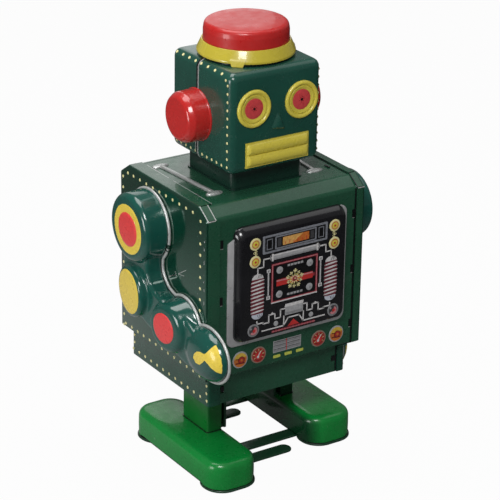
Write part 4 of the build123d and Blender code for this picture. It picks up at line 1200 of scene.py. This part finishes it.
# ---- eyes: profiles of (radius, height) from the rim inwards
EYE_X, EYE_Z = 8.0, 110.1
EYE_RING = [
    (5.55, -0.3), (5.55, 0.2), (5.45, 0.48), (5.2, 0.72), (4.9, 0.8), (4.62, 0.70),
    (4.42, 0.46), (4.3, 0.26), (4.18, 0.26), (4.05, 0.42), (3.85, 0.46), (3.6, 0.38),
    (3.3, 0.24), (3.02, 0.12), (2.9, 0.05)]
PUPIL = [(3.04, -0.05), (3.02, 0.14), (2.9, 0.2), (1.5, 0.24), (0.2, 0.26)]
for side, side_name in SIDES:
    eye = (FACE_X + side * EYE_X, HEAD_FRONT, EYE_Z)
    make(side_name + "_eye_ring", lathe(EYE_RING, eye, "-y", 80), YELLOW_PRINT,
         "yellow_lacquer", angle=35)
    make(side_name + "_pupil", lathe(PUPIL, eye, "-y", 56), PUPIL_RED, "red_lacquer", angle=50)
    centre = Print(lambda x, z, lift: (eye[0] + x, HEAD_FRONT - lift, eye[2] + z))
    centre.disc(0, 0, 0.42, BLACK_INK, 0.2, 0.30, 14)
    for i in range(6):
        angle = 2 * pi * i / 6 + 0.3
        centre.disc(0.78 * cos(angle), 0.78 * sin(angle), 0.13, DARK_RED, 0.2, 0.28, 8)
    centre.build(side_name + "_pupil_centre", "red_lacquer")

# ---- mouth: a yellow plate with two long half-round lips
MOUTH_HALF, MOUTH_FOOT, MOUTH_TOP = 10.6, 92.8, 100.2
MOUTH_BORDER = 0.42


def mouth_height(x, z):
    height = 0.30
    if min(MOUTH_HALF - abs(x), z - MOUTH_FOOT, MOUTH_TOP - z) > MOUTH_BORDER:
        for low, high in ((MOUTH_FOOT + MOUTH_BORDER, 96.45), (96.55, MOUTH_TOP - MOUTH_BORDER)):
            if low < z < high:
                rise = (z - low) / (high - low)
                lip = 0.95 * (1 - (2 * rise - 1) ** 2) ** 0.6
                end = max(0.0, min(1.0, (MOUTH_HALF - MOUTH_BORDER - abs(x)) / 0.9))
                height += lip * (1 - (1 - end) ** 2) ** 0.5
    return height


def mouth():
    columns, rows = 70, 60
    verts, faces = [], []
    for j in range(rows + 1):
        z = (MOUTH_FOOT + MOUTH_TOP) / 2 + (MOUTH_TOP - MOUTH_FOOT) / 2 * (-1 + 2 * j / rows)
        for i in range(columns + 1):
            # columns crowd together towards the ends
            across = -1 + 2 * i / columns
            x = MOUTH_HALF * math.copysign(1 - (1 - abs(across)) ** 1.6, across)
            verts.append((FACE_X + x, HEAD_FRONT - mouth_height(x, z), z))
    wide = columns + 1
    for j in range(rows):
        for i in range(columns):
            k = j * wide + i
            faces.append([k, k + 1, k + wide + 1, k + wide])
    rim = list(range(wide))
    rim += [j * wide + columns for j in range(1, rows + 1)]
    rim += [rows * wide + i for i in range(columns - 1, -1, -1)]
    rim += [j * wide for j in range(rows - 1, 0, -1)]
    back, count = len(verts), len(rim)
    verts += [(verts[i][0], HEAD_FRONT + 0.15, verts[i][2]) for i in rim]
    for i in range(count):
        k = (i + 1) % count
        faces.append([rim[i], rim[k], back + k, back + i])
    faces.append([back + i for i in range(count)])
    make("mouth_plate", (verts, faces), YELLOW_PRINT, "yellow_lacquer", angle=50)


def nose():
    """A soft pressed triangle."""
    outline = round_path([(-1.5, 103.1), (3.1, 102.3), (0.6, 107.6)], 0.35, 4, True)
    x0, z0 = 1.3, 103.9
    rings = []
    for scale, height in ((1.12, -0.05), (1.0, 0.12), (0.86, 0.42), (0.62, 0.66),
                          (0.3, 0.8), (0.1, 0.84)):
        rings.append(at_y([(x0 + (x - x0) * scale, z0 + (z - z0) * scale) for x, z in outline],
                          HEAD_FRONT - height))
    make("nose", loft(rings), GREEN_HEAD, "head_green", angle=60)


mouth()
nose()

# ---- dots on the sides of the head: (y, z) up the front edge and along the bottom
HEAD_DOTS = [(-15.35, 93.55 + 2.4 * i) for i in range(11)] + [(-14.3, 118.9)]
HEAD_DOTS += [(11.5 - 2.55 * i, 93.4) for i in range(5)]
HEAD_DOTS += [(-2.4 - 2.55 * i, 93.4) for i in range(5)]
# along the rounded top edge: (y, distance round the edge)
HEAD_TOP_DOTS = [(-11.6 + 3.6 * i, 0) for i in range(3)] + [(-0.9, 0)]
HEAD_TOP_DOTS += [(2.3 + 3.3 * i, 0) for i in range(4)]


def head_top_edge(y, along, lift):
    inset = 0.0 if y < 0 else REAR_INSET
    angle = radians(38) + along / HEAD_RADIUS
    radius = HEAD_RADIUS + lift - 0.02
    return (side * (HEAD_X - inset - HEAD_RADIUS + radius * cos(angle)), y,
            HEAD_TOP - inset - HEAD_RADIUS + radius * sin(angle))


for side, side_name in SIDES:
    rivet_dots(side_name + "_head_dots", lambda y, z, lift: (
        side * (HEAD_X - (0.02 if y < 0 else 0.14) + lift), y, z),
        HEAD_DOTS, 0.42, "head_green")
    rivet_dots(side_name + "_head_top_dots", head_top_edge, HEAD_TOP_DOTS, 0.46, "head_green")

# ---- ears; the left one stands out further
for side, side_name in SIDES:
    stretch = 1.12 if side > 0 else 1.0
    profile = round_path([(7.75, 0.0), (7.72, 0.35), (7.55, 0.5), (7.42, 5.2), (6.3, 7.0),
                          (3.0, 7.04), (0.4, 7.06)], [0, 0.2, 0.3, 1.6, 1.6, 1.5, 0], 7)
    make(side_name + "_ear_skin",
         lathe([(radius, height * stretch) for radius, height in profile],
               (side * HEAD_X, 0.2, 104.7), "-x" if side < 0 else "x", 80),
         RED, "red_lacquer", replaces=side_name + "_ear_cap", angle=60)

# ---- lamp: base washer, coloured black as painted shade in the gap under the ring; sloping ring with three bent tabs, cap; profiles of (radius, z)
LAMP_Y = -1.1
LAMP_AXIS = (0.0, LAMP_Y, 0.0)


def lamp_tab(degrees):
    """A tab on the ring's foot; 0 degrees faces the front."""
    cosine, sine = cos(radians(degrees)), sin(radians(degrees))
    rings = []
    # z, outer radius, thickness, half width
    for z, radius, thick, half in (
            (120.93, 14.45, 0.30, 1.5), (121.1, 14.52, 0.34, 1.65), (121.7, 14.3, 0.36, 1.85),
            (122.4, 14.05, 0.4, 2.1), (122.9, 13.85, 0.45, 2.2), (123.2, 13.6, 0.3, 2.1)):
        section = [(-half, -radius), (half, -radius), (half, thick - radius),
                   (-half, thick - radius)]
        rings.append([(x * cosine - y * sine, LAMP_Y + x * sine + y * cosine, z)
                      for x, y in section])
    return loft(rings)


# the base washer is black: painted shade in the gap under the ring
make("lamp_base", lathe([(12.9, 120.85), (13.1, 121.0), (13.1, 121.75), (12.6, 121.85)],
                        LAMP_AXIS, "z", 80), BLACK, "head_green")
make("lamp_ring_skin", lathe(round_path(
    [(12.4, 121.5), (13.6, 121.5), (14.15, 121.7), (14.1, 122.3), (13.55, 123.5),
     (12.75, 125.3), (12.38, 125.25), (12.38, 121.5)],
    [0, 0.1, 0.2, 0.4, 0.6, 0.18, 0.1, 0], 4), LAMP_AXIS, "z", 96, True),
    YELLOW, "yellow_lacquer", replaces="lamp_ring", angle=40)
make("lamp_ring_tabs", merge([lamp_tab(degrees) for degrees in (-43, 77, 197)]),
     YELLOW, "yellow_lacquer")
make("lamp_cap_skin", lathe(round_path(
    [(12.3, 121.4), (12.3, 128.2), (11.9, 130.45), (8.0, 130.62), (0.3, 130.7)],
    [0, 1.0, 2.0, 3.0, 0], 8), LAMP_AXIS, "z", 96),
    RED_CAP, "red_lacquer", replaces="lamp_cap", angle=60)

# ============================================================ arms
# Laid out as the right arm; places are (y, z), depths run out from the plate.
ARM_X = 27.7
SHOULDER, SHOULDER_DEPTH = (5.9, 71.6), 7.3
ELBOW, ELBOW_DEPTH, ELBOW_TILT = (6.5, 51.8), 6.8, 0.108
FOREARM_DEPTH, FOREARM_TILT = 5.9, -0.12
HAND_Y, HAND_Z, HAND_HALF_Y, HAND_HALF_Z = -26.5, 43.6, 10.0, 7.7
UPPER_WEB = [
    (-0.9, 70.0), (-1.3, 65.5), (-0.6, 62.4), (-0.8, 59.6), (-2.4, 57.0), (-4.6, 55.2),
    (-9.0, 54.2), (-11.5, 50.0), (-8.0, 42.0), (-0.2, 43.5), (6.5, 46.0), (12.6, 50.0),
    (12.6, 70.0)]
HAND_WEB = [
    (-15.4, 54.2), (-20.3, 51.0), (-26.8, 47.6), (-26.8, 39.4), (-20.0, 37.9),
    (-15.0, 38.9), (-11.2, 40.0), (-11.2, 47.0)]
# printed claw: a round lobe, a narrow neck and a fan
CLAW = [
    (-25.1, 43.1), (-25.6, 44.4), (-26.9, 45.6), (-28.4, 46.1), (-29.9, 46.1), (-30.7, 46.3),
    (-31.4, 47.2), (-31.9, 48.1), (-32.4, 49.1), (-33.0, 49.5), (-33.8, 49.1), (-34.6, 48.1),
    (-35.9, 46.3), (-36.5, 44.4), (-36.5, 42.7), (-35.9, 41.5), (-34.7, 42.0), (-33.6, 42.7),
    (-32.0, 43.8), (-30.7, 44.4), (-29.8, 43.3), (-28.4, 42.1), (-26.4, 41.9)]
ARM_PIVOT_Z = 57.0
ARM_SWING = radians(52.0)


def as_right(point):
    return point


def as_left(point):
    """Mirror a right arm point and swing it about the pivot."""
    x, y, z = point
    z -= ARM_PIVOT_Z
    return (-x, y * cos(ARM_SWING) - z * sin(ARM_SWING),
            ARM_PIVOT_Z + y * sin(ARM_SWING) + z * cos(ARM_SWING))


def boss(root, face, root_radius, face_radius, depth, tilt=0.0, soft=1.0):
    """A pressed boss from a circle at the plate to one at its face; `tilt` leans the face."""
    levels = [(0.0, root_radius), (0.12, root_radius - 0.05),
              (0.5, root_radius + (face_radius - root_radius) * 0.6)]
    # (distance below the face, inset, small change of radius) round the soft edge
    levels += [(1 - below * soft / depth, face_radius - inset * soft) for below, inset in (
        (0.85, 0.14), (0.45, 0.42), (0.16, 0.82))]
    levels.insert(3, (1 - 1.25 * soft / depth, face_radius + 0.02))
    levels += [(1.0, face_radius - 1.25 * soft), (1.0, 0.3)]
    rings = []
    for k, radius in levels:
        outline = circle(root[0] + (face[0] - root[0]) * k, root[1] + (face[1] - root[1]) * k,
                         radius, 72)
        rings.append([(-ARM_X - depth * k + k * tilt * (y - face[0]), y, z)
                      for y, z in outline])
    return loft(rings)


def hand_dome():
    rings = []
    for scale, height in ((1.0, 0.0), (0.985, 0.9), (0.93, 1.9), (0.83, 2.85), (0.69, 3.6),
                          (0.5, 4.1), (0.26, 4.34), (0.04, 4.4)):
        rings.append([(-ARM_X - height, HAND_Y + HAND_HALF_Y * scale * cos(2 * pi * i / 72),
                       HAND_Z + HAND_HALF_Z * scale * sin(2 * pi * i / 72))
                      for i in range(72)])
    return loft(rings)


def web(outline, depth):
    outline = round_path(outline, 1.0, 3, True)
    inner = offset_path(outline, 0.5 if loop_area(outline) > 0 else -0.5, True)
    return loft([at_x(outline, -ARM_X), at_x(outline, -ARM_X - depth + 0.6),
                 at_x(inner, -ARM_X - depth)])


def arm_skin(name, body, place):
    """Bosses, hand and webs fused into one pressing and softened."""
    verts, faces = merge([
        boss((SHOULDER[0], SHOULDER[1] + 0.35), (SHOULDER[0] + 0.1, SHOULDER[1] + 0.3),
             10.45, 10.25, SHOULDER_DEPTH, soft=1.15),
        boss(ELBOW, ELBOW, 8.5, 7.75, ELBOW_DEPTH, ELBOW_TILT, soft=0.75),
        boss((-13.7, 47.0), (-11.6, 47.0), 8.6, 7.2, FOREARM_DEPTH, FOREARM_TILT),
        hand_dome(),
        web(UPPER_WEB, 5.0),
        web(HAND_WEB, 3.4),
    ])
    skin = make(name + "_arm_skin", ([place(vert) for vert in verts], faces), GREEN_ARM,
                "arm_green", body, replaces=name + "_arm_shell", weld=False)
    modify(skin, "REMESH", mode="VOXEL", voxel_size=0.00026, use_smooth_shade=True)
    modify(skin, "SMOOTH", factor=0.5, iterations=9)
    # the remesh made new faces: one material, smooth throughout
    mesh = skin.data
    mesh.materials.clear()
    mesh.materials.append(GREEN_ARM)
    mesh.polygons.foreach_set("use_smooth", [True] * len(mesh.polygons))
    mesh.polygons.foreach_set("material_index", [0] * len(mesh.polygons))
    return mesh


# name, centre, depth, tilt, (radius, height) profile, corner radii, steps, material, slot
ARM_DISCS = (
    ("shoulder_ring", SHOULDER, SHOULDER_DEPTH, 0.0,
     [(7.45, -0.15), (7.45, 0.02), (7.2, 0.07), (5.1, 0.07), (4.9, 0.0), (4.9, -0.1)],
     [0, 0.05, 0.05, 0.05, 0.02, 0], 2, ARM_YELLOW, "yellow_lacquer"),
    ("shoulder_centre", SHOULDER, SHOULDER_DEPTH, 0.0,
     [(5.15, -0.15), (5.1, 0.12), (4.4, 0.36), (0.3, 0.45)],
     [0, 0.1, 0.5, 0], 4, ARM_RED, "red_lacquer"),
    ("elbow_disc", ELBOW, ELBOW_DEPTH, ELBOW_TILT,
     [(6.7, -0.15), (6.65, 0.05), (6.1, 0.14), (0.3, 0.2)],
     [0, 0.08, 0.4, 0], 3, ARM_YELLOW, "yellow_lacquer"),
    ("forearm_disc", (-11.4, 46.9), FOREARM_DEPTH, FOREARM_TILT,
     [(4.62, -0.15), (4.57, 0.08), (4.1, 0.22), (0.3, 0.3)],
     [0, 0.08, 0.4, 0], 3, ARM_RED, "red_lacquer"),
)


def arm_discs(name, body, place):
    for part, (y0, z0), depth, tilt, profile, radii, steps, material, slot in ARM_DISCS:
        verts, faces = lathe(round_path(profile, radii, steps), (-ARM_X - depth, y0, z0), "-x")
        verts = [place((x + tilt * (y - y0), y, z)) for x, y, z in verts]
        make(f"{name}_{part}", (verts, faces), material, slot, body, angle=50)


def draper(mesh, place):
    """A function that drops right arm (y, z) points onto the arm's pressed surface."""
    tree = BVHTree.FromPolygons([vert.co.copy() for vert in mesh.vertices],
                                [list(face.vertices) for face in mesh.polygons])

    def drape(y, z, lift):
        start = Vector(to_metres(place((-60.0, y, z))))
        end = Vector(to_metres(place((-27.0, y, z))))
        direction = (end - start).normalized()
        hit, normal = tree.ray_cast(start, direction)[:2]
        if hit is None:
            # beside the pressing: rest on the plate
            hit, normal = end, -direction
        spot = hit + normal * (lift * 0.001)
        return spot.x * 1000, spot.y * 1000 - AXIS_Y, spot.z * 1000

    return drape


def claw_print(name, body, drape):
    outline = []
    for y, z in round_path(CLAW, 0.5, 2, True):
        # keep the print on the dome, short of its edge
        across, up = (y - HAND_Y) / HAND_HALF_Y, (z - HAND_Z) / HAND_HALF_Z
        scale = min(1.0, 0.945 / max(1e-6, sqrt(across * across + up * up)))
        outline.append((HAND_Y + across * scale * HAND_HALF_Y,
                        HAND_Z + up * scale * HAND_HALF_Z))
    # fill the outline with triangles small enough to follow the dome
    patch = bmesh.new()
    face = patch.faces.new([patch.verts.new((y, z, 0)) for y, z in outline])
    bmesh.ops.triangulate(patch, faces=[face])
    for _ in range(2):
        bmesh.ops.subdivide_edges(patch, edges=patch.edges[:], cuts=1, use_grid_fill=False)
        bmesh.ops.triangulate(patch, faces=patch.faces[:])
    patch.verts.index_update()
    flat = [(vert.co.x, vert.co.y) for vert in patch.verts]
    triangles = [[vert.index for vert in face.verts] for face in patch.faces]
    border = [[vert.index for vert in edge.verts] for edge in patch.edges
              if len(edge.link_faces) == 1]
    patch.free()
    count = len(flat)
    verts = [drape(y, z, lift) for lift in (0.07, -0.05) for y, z in flat]
    faces = triangles + [[count + i for i in face][::-1] for face in triangles]
    faces += [[a, b, b + count, a + count] for a, b in border]
    make(name + "_claw_print", (verts, faces), ARM_YELLOW, "yellow_lacquer", body, angle=60)


def plate_outline(name, side):
    """The longest (y, z) edge loop on the outer face of the arm's back plate."""
    mesh = NODES[name + "_arm_back_plate"].data
    face_x = (min if side < 0 else max)(vert.co.x for vert in mesh.vertices)
    uses = {}
    for face in mesh.polygons:
        corners = [mesh.vertices[i].co for i in face.vertices]
        if all(abs(corner.x - face_x) < 2e-5 for corner in corners):
            # whole thousandths of a millimetre, so shared corners match
            keys = [(round(corner.y * 1e6), round(corner.z * 1e6)) for corner in corners]
            for a, b in zip(keys, keys[1:] + keys[:1]):
                edge = (min(a, b), max(a, b))
                uses[edge] = uses.get(edge, 0) + 1
    neighbours = {}
    for (a, b), count in uses.items():
        if count == 1:
            neighbours.setdefault(a, []).append(b)
            neighbours.setdefault(b, []).append(a)
    loops, seen = [], set()
    for start in sorted(neighbours):
        if start in seen:
            continue
        loop, current, previous = [start], start, None
        seen.add(start)
        while True:
            onward = [key for key in neighbours[current]
                      if key != previous and (key not in seen or key == start)]
            if not onward or onward[0] == start:
                break
            loop.append(onward[0])
            seen.add(onward[0])
            previous, current = current, onward[0]
        loops.append(loop)
    longest = max(loops, key=lambda loop: sum(edge_lengths(loop)))
    return [(y / 1000.0 - AXIS_Y, z / 1000.0) for y, z in longest]


def resample(points, count):
    """Evenly spaced points along a closed outline."""
    lengths = edge_lengths(points)
    total = sum(lengths)
    even, i, passed = [], 0, 0.0
    for k in range(count):
        wanted = total * k / count
        while passed + lengths[i] < wanted:
            passed += lengths[i]
            i += 1
        part = (wanted - passed) / lengths[i]
        a, b = points[i], points[(i + 1) % len(points)]
        even.append((a[0] + (b[0] - a[0]) * part, a[1] + (b[1] - a[1]) * part))
    return even


def arm_rim(name, body, side, place):
    """Rolled silver rim along the back plate's edge, with three dark places."""
    count = 340
    outline = resample(plate_outline(name, side), count)
    outward_sign = 1 if loop_area(outline) > 0 else -1
    rings = []
    for k in range(10):
        angle = 2 * pi * k / 10
        moved = offset_path(outline, outward_sign * (0.34 - 0.50 * cos(angle)), True)
        rings.append(at_x(moved, 27.52 * side + 0.42 * sin(angle)))
    shape = tube(rings)
    dark = [place((-27.5, y, z))[1:] for y, z in ((-3.9, 68.9), (-3.2, 67.6), (-24.4, 50.2))]
    shades = [int(min(hypot(y - a, z - b) for a, b in dark) < 1.15) for y, z in outline]
    make(name + "_arm_rim", shape, [EDGE, GREEN_NECK], "bare_tin", body, angle=70,
         face_materials=[shades[i % count] for i in range(len(shape[1]))])


ARM_SCRATCHES = (
    ((-0.3, 58.1), (-0.9, 57.2), (-1.5, 56.4)),
    ((-3.6, 58.5), (-5.6, 59.8), (-7.6, 60.7), (-6.3, 60.1), (-4.9, 59.4)),
)
SLIP_FACES = [[0, 1, 2, 3], [7, 6, 5, 4], [0, 4, 5, 1], [1, 5, 6, 2], [2, 6, 7, 3],
              [3, 7, 4, 0]]


def arm_scratches(name, body, drape):
    """Fine bright lines in the lacquer between the discs."""
    for k, path in enumerate(ARM_SCRATCHES):
        slips = []
        for (y0, z0), (y1, z1) in zip(path, path[1:]):
            length = hypot(y1 - y0, z1 - z0)
            side_y, side_z = -(z1 - z0) / length * 0.09, (y1 - y0) / length * 0.09
            corners = [(y0 - side_y, z0 - side_z), (y1 - side_y, z1 - side_z),
                       (y1 + side_y, z1 + side_z), (y0 + side_y, z0 + side_z)]
            slips.append(([drape(y, z, lift) for lift in (0.05, -0.03) for y, z in corners],
                          SLIP_FACES))
        make(f"{name}_{k}", merge(slips), EDGE, "bare_tin", body)


for (side, side_name), place in zip(SIDES, (as_right, as_left)):
    arm_body = side_name + "_arm"
    arm_mesh = arm_skin(side_name, arm_body, place)
    arm_discs(side_name, arm_body, place)
    drape = draper(arm_mesh, place)
    claw_print(side_name, arm_body, drape)
    arm_rim(side_name, arm_body, side, place)
    if side < 0:
        arm_scratches("arm_scratch", arm_body, drape)

# ============================================================ feet and legs
FOOT_X, FOOT_HALF_X = 20.1, 8.0
STEP = 4.5              # the right foot is this far forward, the left one this far back


def foot_plan(middle, y0, y1, half, radius, grow=0.0):
    return rounded_rect(middle - half - grow, middle + half + grow, y0 - grow, y1 + grow,
                        radius + grow, 12)


def foot_skin(name, body, middle, y0, y1):
    # (inset, z) from the lower edge up over the instep
    levels = [(0.0, 0.75), (0.0, 1.1), (-0.05, 4.0), (0.0, 6.9), (0.12, 7.5), (0.4, 8.1),
              (0.85, 8.58), (1.45, 8.9), (2.2, 9.04), (3.2, 9.07)]
    foot = make(name + "_foot_skin", loft([
        at_z(foot_plan(middle, y0, y1, FOOT_HALF_X, 5.9, -inset), z) for inset, z in levels]),
        GREEN_FOOT[name], "foot_green", body, replaces=name + "_foot_shell", angle=40)
    # shallow stepped arches along the lower edge
    cut(foot, [(middle + flank * 8.2 - 1.0, middle + flank * 8.2 + 1.0, y0 + front, y1 - back,
                0.5, top)
               for front, back, top in ((7.5, 5.5, 1.45), (6.8, 4.9, 1.1))
               for flank in (-1, 1)])


def sole(name, body, side, middle, y0, y1, strips):
    """Plates with rounded lips at both ends, a middle plate and two cross strips."""
    parts = []
    for front, back in ((y0 - 0.55, y0 + 12.2), (y1 - 12.0, y1 + 0.5)):
        parts.append(loft([at_z(foot_plan(middle, front, back, 8.25, 6.2, grow), z)
                           for grow, z in ((-0.18, 0.0), (0, 0.15), (0, 0.5), (-0.2, 0.7))]))
    plate = rounded_rect(middle - 6.9, middle + 6.9, y0 + 5, y1 - 5, 0.5, 3)
    parts.append(loft([at_z(plate, 0.02), at_z(plate, 0.68)]))
    x0, x1 = sorted((side * 17.0, -side * 6.9))
    for y in strips:
        parts.append(loft([
            at_z(rounded_rect(x0 - grow, x1 + grow, y - 2.25 - grow, y + 2.25 + grow, 2.1, 7), z)
            for grow, z in ((-0.15, 0.0), (0, 0.14), (0, 0.55), (-0.15, 0.7))]))
    make(name + "_sole_skin", merge(parts), GREEN_SOLE, "dark_green", body,
         replaces=name + "_sole_plate", angle=40)
    gaps = []
    for front, back in ((y0, y0 + 11.0), (y1 - 11.0, y1)):
        gaps.append(tube([at_z(foot_plan(middle, front, back, FOOT_HALF_X, 5.4, grow), z)
                          for z, grow in ((0.64, 0.1), (0.86, 0.07), (0.86, -0.8),
                                          (0.64, -0.8))]))
    make(name + "_sole_gap", merge(gaps), BLACK_INK, "dark_green", body)


def leg(name, body, side, shift):
    """Outer face and two flanges, softly bent; and the dark seam where it meets the foot."""
    def channel(front, back):
        return round_path([(side * 13.6, front + shift), (side * 18.4, front + shift),
                           (side * 18.4, back + shift), (side * 13.6, back + shift)],
                          [0, 0.8, 0.8, 0], 4)

    rings = []
    for z, front, back in ((9.12, -7, 7), (26.0, -7, 7), (29.0, -7, 3), (70.0, -7, 3)):
        path = channel(front, back)
        rings.append(at_z(path + offset_path(path, side * WALL)[::-1], z))
    make(name + "_leg_skin", loft(rings), GREEN_LEG[name], "foot_green", body,
         replaces=name + "_leg_channel", angle=40)
    path = channel(-7, 7)
    seam = offset_path(path, side * -0.3) + offset_path(path, side * WALL)[::-1]
    make(name + "_leg_foot_seam", loft([at_z(seam, 9.0), at_z(seam, 9.3)]),
         BLACK_INK, "dark_green", body)


SOLE_STRIPS = {-1: (-13.3, 14.4), 1: (-15.1, 12.2)}
for side, side_name in SIDES:
    shift = side * STEP
    leg_body = side_name + "_leg"
    span = (side * FOOT_X, -26.5 + shift, 20.6 + shift)
    foot_skin(side_name, leg_body, *span)
    sole(side_name, leg_body, side, *span, [y + shift for y in SOLE_STRIPS[side]])
    leg(side_name, leg_body, side, shift)

# ============================================================ winding key, on the left side
KEY_Y, KEY_Z = 11.0, 34.5
# upper half of the wing: (x, height above the arbor)
KEY_WING = [
    (36.6, 1.1), (38.6, 1.7), (39.6, 4.0), (40.6, 8.0), (42.6, 10.0), (44.9, 9.4),
    (46.1, 7.2), (46.0, 4.6), (44.4, 2.2), (43.4, 0.8)]


def winding_key():
    outline = [(x, KEY_Z + z) for x, z in KEY_WING]
    outline += [(x, KEY_Z - z) for x, z in KEY_WING[::-1]]
    outline = round_path(outline, 1.2, 4, True)
    wing = make("winding_key_wing", loft([at_y(outline, KEY_Y - 0.6), at_y(outline, KEY_Y + 0.6)]),
                PLATED, "plated_steel", "winding_arbor")
    for way in (-1, 1):
        subtract(wing, lathe([(2.0, -3), (2.0, 3)], (42.9, KEY_Y, KEY_Z + way * 5.9), "y", 32))
    modify(wing, "BEVEL", width=0.0003, segments=3, limit_method="ANGLE",
           angle_limit=radians(40), harden_normals=False)
    wing.data.set_sharp_from_angle(angle=radians(35))
    hub = round_path([(1.9, 35.1), (2.55, 35.3), (2.6, 37.2), (2.2, 39.4), (1.2, 39.8)],
                     [0, 0.15, 0.2, 0.3, 0], 3)
    make("winding_key_hub", lathe(hub, (0, KEY_Y, KEY_Z), "x", 48), PLATED, "plated_steel",
         "winding_arbor", replaces="winding_key")


winding_key()

# ============================================================ CAD pieces that stay
for material, names in (
        (TIN, "right_arm_back_plate left_arm_back_plate"),
        (GREEN_SOLE, "right_leg_strap left_leg_strap"),
        (PLATED, "right_motor_plate left_motor_plate right_crank left_crank right_idler_crank "
                 "left_idler_crank right_arm_fork left_arm_fork crank_pin_caps idler_pin_caps"),
        (TURNED, "plate_pillars arm_pivot_rivets right_arm_drive_pin left_arm_drive_pin "
                 "winding_arbor crank_shaft idler_shaft intermediate_arbor governor_arbor "
                 "pallet_pin ratchet_wheel click_pawl"),
        (SPRING, "mainspring"),
        (BRASS, "great_wheel intermediate_pinion intermediate_wheel crank_pinion "
                "governor_drive_wheel governor_pinion star_wheel governor_pallet")):
    for name in names.split():
        NODES[name].data.materials.clear()
        NODES[name].data.materials.append(material)


# ============================================================ stage, light, camera
def floor_material():
    """Grey paper that looks nearly white to the camera and graded in reflections."""
    colour = (0.42, 0.42, 0.42)
    material, tree, shader = new_material("floor_paper")
    drift = noise(tree, object_coords(tree), scale=8.0, detail=2.0)
    set_inputs(tree, shader, {
        "Base Color": ramp(tree, drift, 0.3, 0.7, scaled(colour, 0.99), colour),
        "Roughness": 0.85, "Specular IOR Level": 0.2,
    })
    paper = shader.outputs[0]
    rays = add_node(tree, "ShaderNodeLightPath")
    position = add_node(tree, "ShaderNodeNewGeometry").outputs["Position"]
    # in reflections: light to the rear left, dim in front, fading with distance
    sideways = smooth_range(tree, dot(tree, position, (-0.55, 0.83, 0.0)),
                            (-0.04, 0.05), (0.06, 0.36))
    distance = add_node(tree, "ShaderNodeVectorMath", {0: position}, operation="LENGTH")
    fade = smooth_range(tree, distance.outputs["Value"], (0.10, 0.22), (1.0, 0.22))
    glow = add_node(tree, "ShaderNodeEmission",
                    {"Strength": maths(tree, "MULTIPLY", sideways, fade)}).outputs[0]
    reflected = mix_shader(tree, rays.outputs["Is Glossy Ray"], paper, glow)
    white = add_node(tree, "ShaderNodeEmission", {"Strength": 1.0}).outputs[0]
    seen = mix_shader(tree, 0.965, paper, white)
    surface = mix_shader(tree, rays.outputs["Is Camera Ray"], reflected, seen)
    tree.links.new(surface, tree.nodes["Material Output"].inputs["Surface"])
    return material


def add_floor():
    half = 3.0
    mesh = bpy.data.meshes.new("floor")
    mesh.from_pydata([(-half, -half, 0), (half, -half, 0), (half, half, 0), (-half, half, 0)],
                     [], [[0, 1, 2, 3]])
    mesh.materials.append(floor_material())
    floor = bpy.data.objects.new("floor", mesh)
    scene.collection.objects.link(floor)


def add_world():
    """White to the camera, soft fill for diffuse light, graded and dim in reflections."""
    world = bpy.data.worlds.new("studio")
    scene.world = world
    world.use_nodes = True
    tree = world.node_tree
    white = (1, 1, 1)
    fill = tree.nodes["Background"]
    set_inputs(tree, fill, {"Color": white, "Strength": 0.31})
    rays = add_node(tree, "ShaderNodeLightPath")
    backdrop = add_node(tree, "ShaderNodeBackground", {"Color": white, "Strength": 1.0})
    direction = add_node(tree, "ShaderNodeTexCoord").outputs["Generated"]
    graded = smooth_range(tree, dot(tree, direction, (0.51, 0.765, 0.0)),
                          (0.1, 0.85), (0.08, 0.16))
    mirror = add_node(tree, "ShaderNodeBackground", {"Color": white, "Strength": graded})
    lighting = mix_shader(tree, rays.outputs["Is Glossy Ray"], fill.outputs[0],
                          mirror.outputs[0])
    surface = mix_shader(tree, rays.outputs["Is Camera Ray"], lighting, backdrop.outputs[0])
    tree.links.new(surface, tree.nodes["World Output"].inputs["Surface"])


def add_softbox(name, place, target, size, power):
    """Rectangular light; place, target and size in metres, power in watts."""
    light = bpy.data.lights.new(name, "AREA")
    light.shape = "RECTANGLE"
    light.size, light.size_y = size
    light.energy = power
    softbox = bpy.data.objects.new(name, light)
    scene.collection.objects.link(softbox)
    softbox.location = place
    aim = Vector(target) - Vector(place)
    softbox.rotation_euler = aim.to_track_quat("-Z", "Y").to_euler()


def add_camera():
    azimuth, elevation, roll = radians(-33.72), radians(23.09), radians(0.97)
    target = Vector((3.24, 0, 58.878))
    distance = 649.188
    back = Vector((sin(azimuth) * cos(elevation), -cos(azimuth) * cos(elevation),
                   sin(elevation)))
    level_right = (-back).cross(Vector((0, 0, 1))).normalized()
    level_up = level_right.cross(-back)
    right = cos(roll) * level_right + sin(roll) * level_up
    up = -sin(roll) * level_right + cos(roll) * level_up
    lens = bpy.data.cameras.new("camera")
    lens.sensor_width = 36.0
    lens.lens = 158.4
    lens.clip_start = 0.01
    lens.clip_end = 10
    camera = bpy.data.objects.new("camera", lens)
    scene.collection.objects.link(camera)
    matrix = Matrix((right, up, back)).transposed().to_4x4()
    matrix.translation = Vector(to_metres(target + back * distance))
    camera.matrix_world = matrix
    scene.camera = camera


add_floor()
add_world()
CENTRE_Y = AXIS_Y * 0.001
CENTRE = (0, CENTRE_Y, 0.065)
add_softbox("key_softbox", place=(-0.27, -0.31, 0.44), target=CENTRE, size=(0.16, 0.16),
            power=1.3)
add_softbox("top_softbox", place=(-0.05, 0.10, 0.55), target=CENTRE, size=(0.40, 0.30),
            power=1.5)
add_softbox("back_softbox", place=(0.105, 0.248, 0.205), target=(-0.025, -0.002, 0.0855),
            size=(0.15, 0.16), power=0.07)
add_softbox("side_softbox", place=(-0.52, -0.05, 0.11), target=(0, CENTRE_Y, 0.07),
            size=(0.16, 0.2), power=0.72)
add_softbox("right_panel", place=(0.27, -0.06, 0.50), target=CENTRE, size=(0.30, 0.30),
            power=0.18)
add_camera()
scene.view_settings.view_transform = "Standard"
scene.view_settings.look = "None"
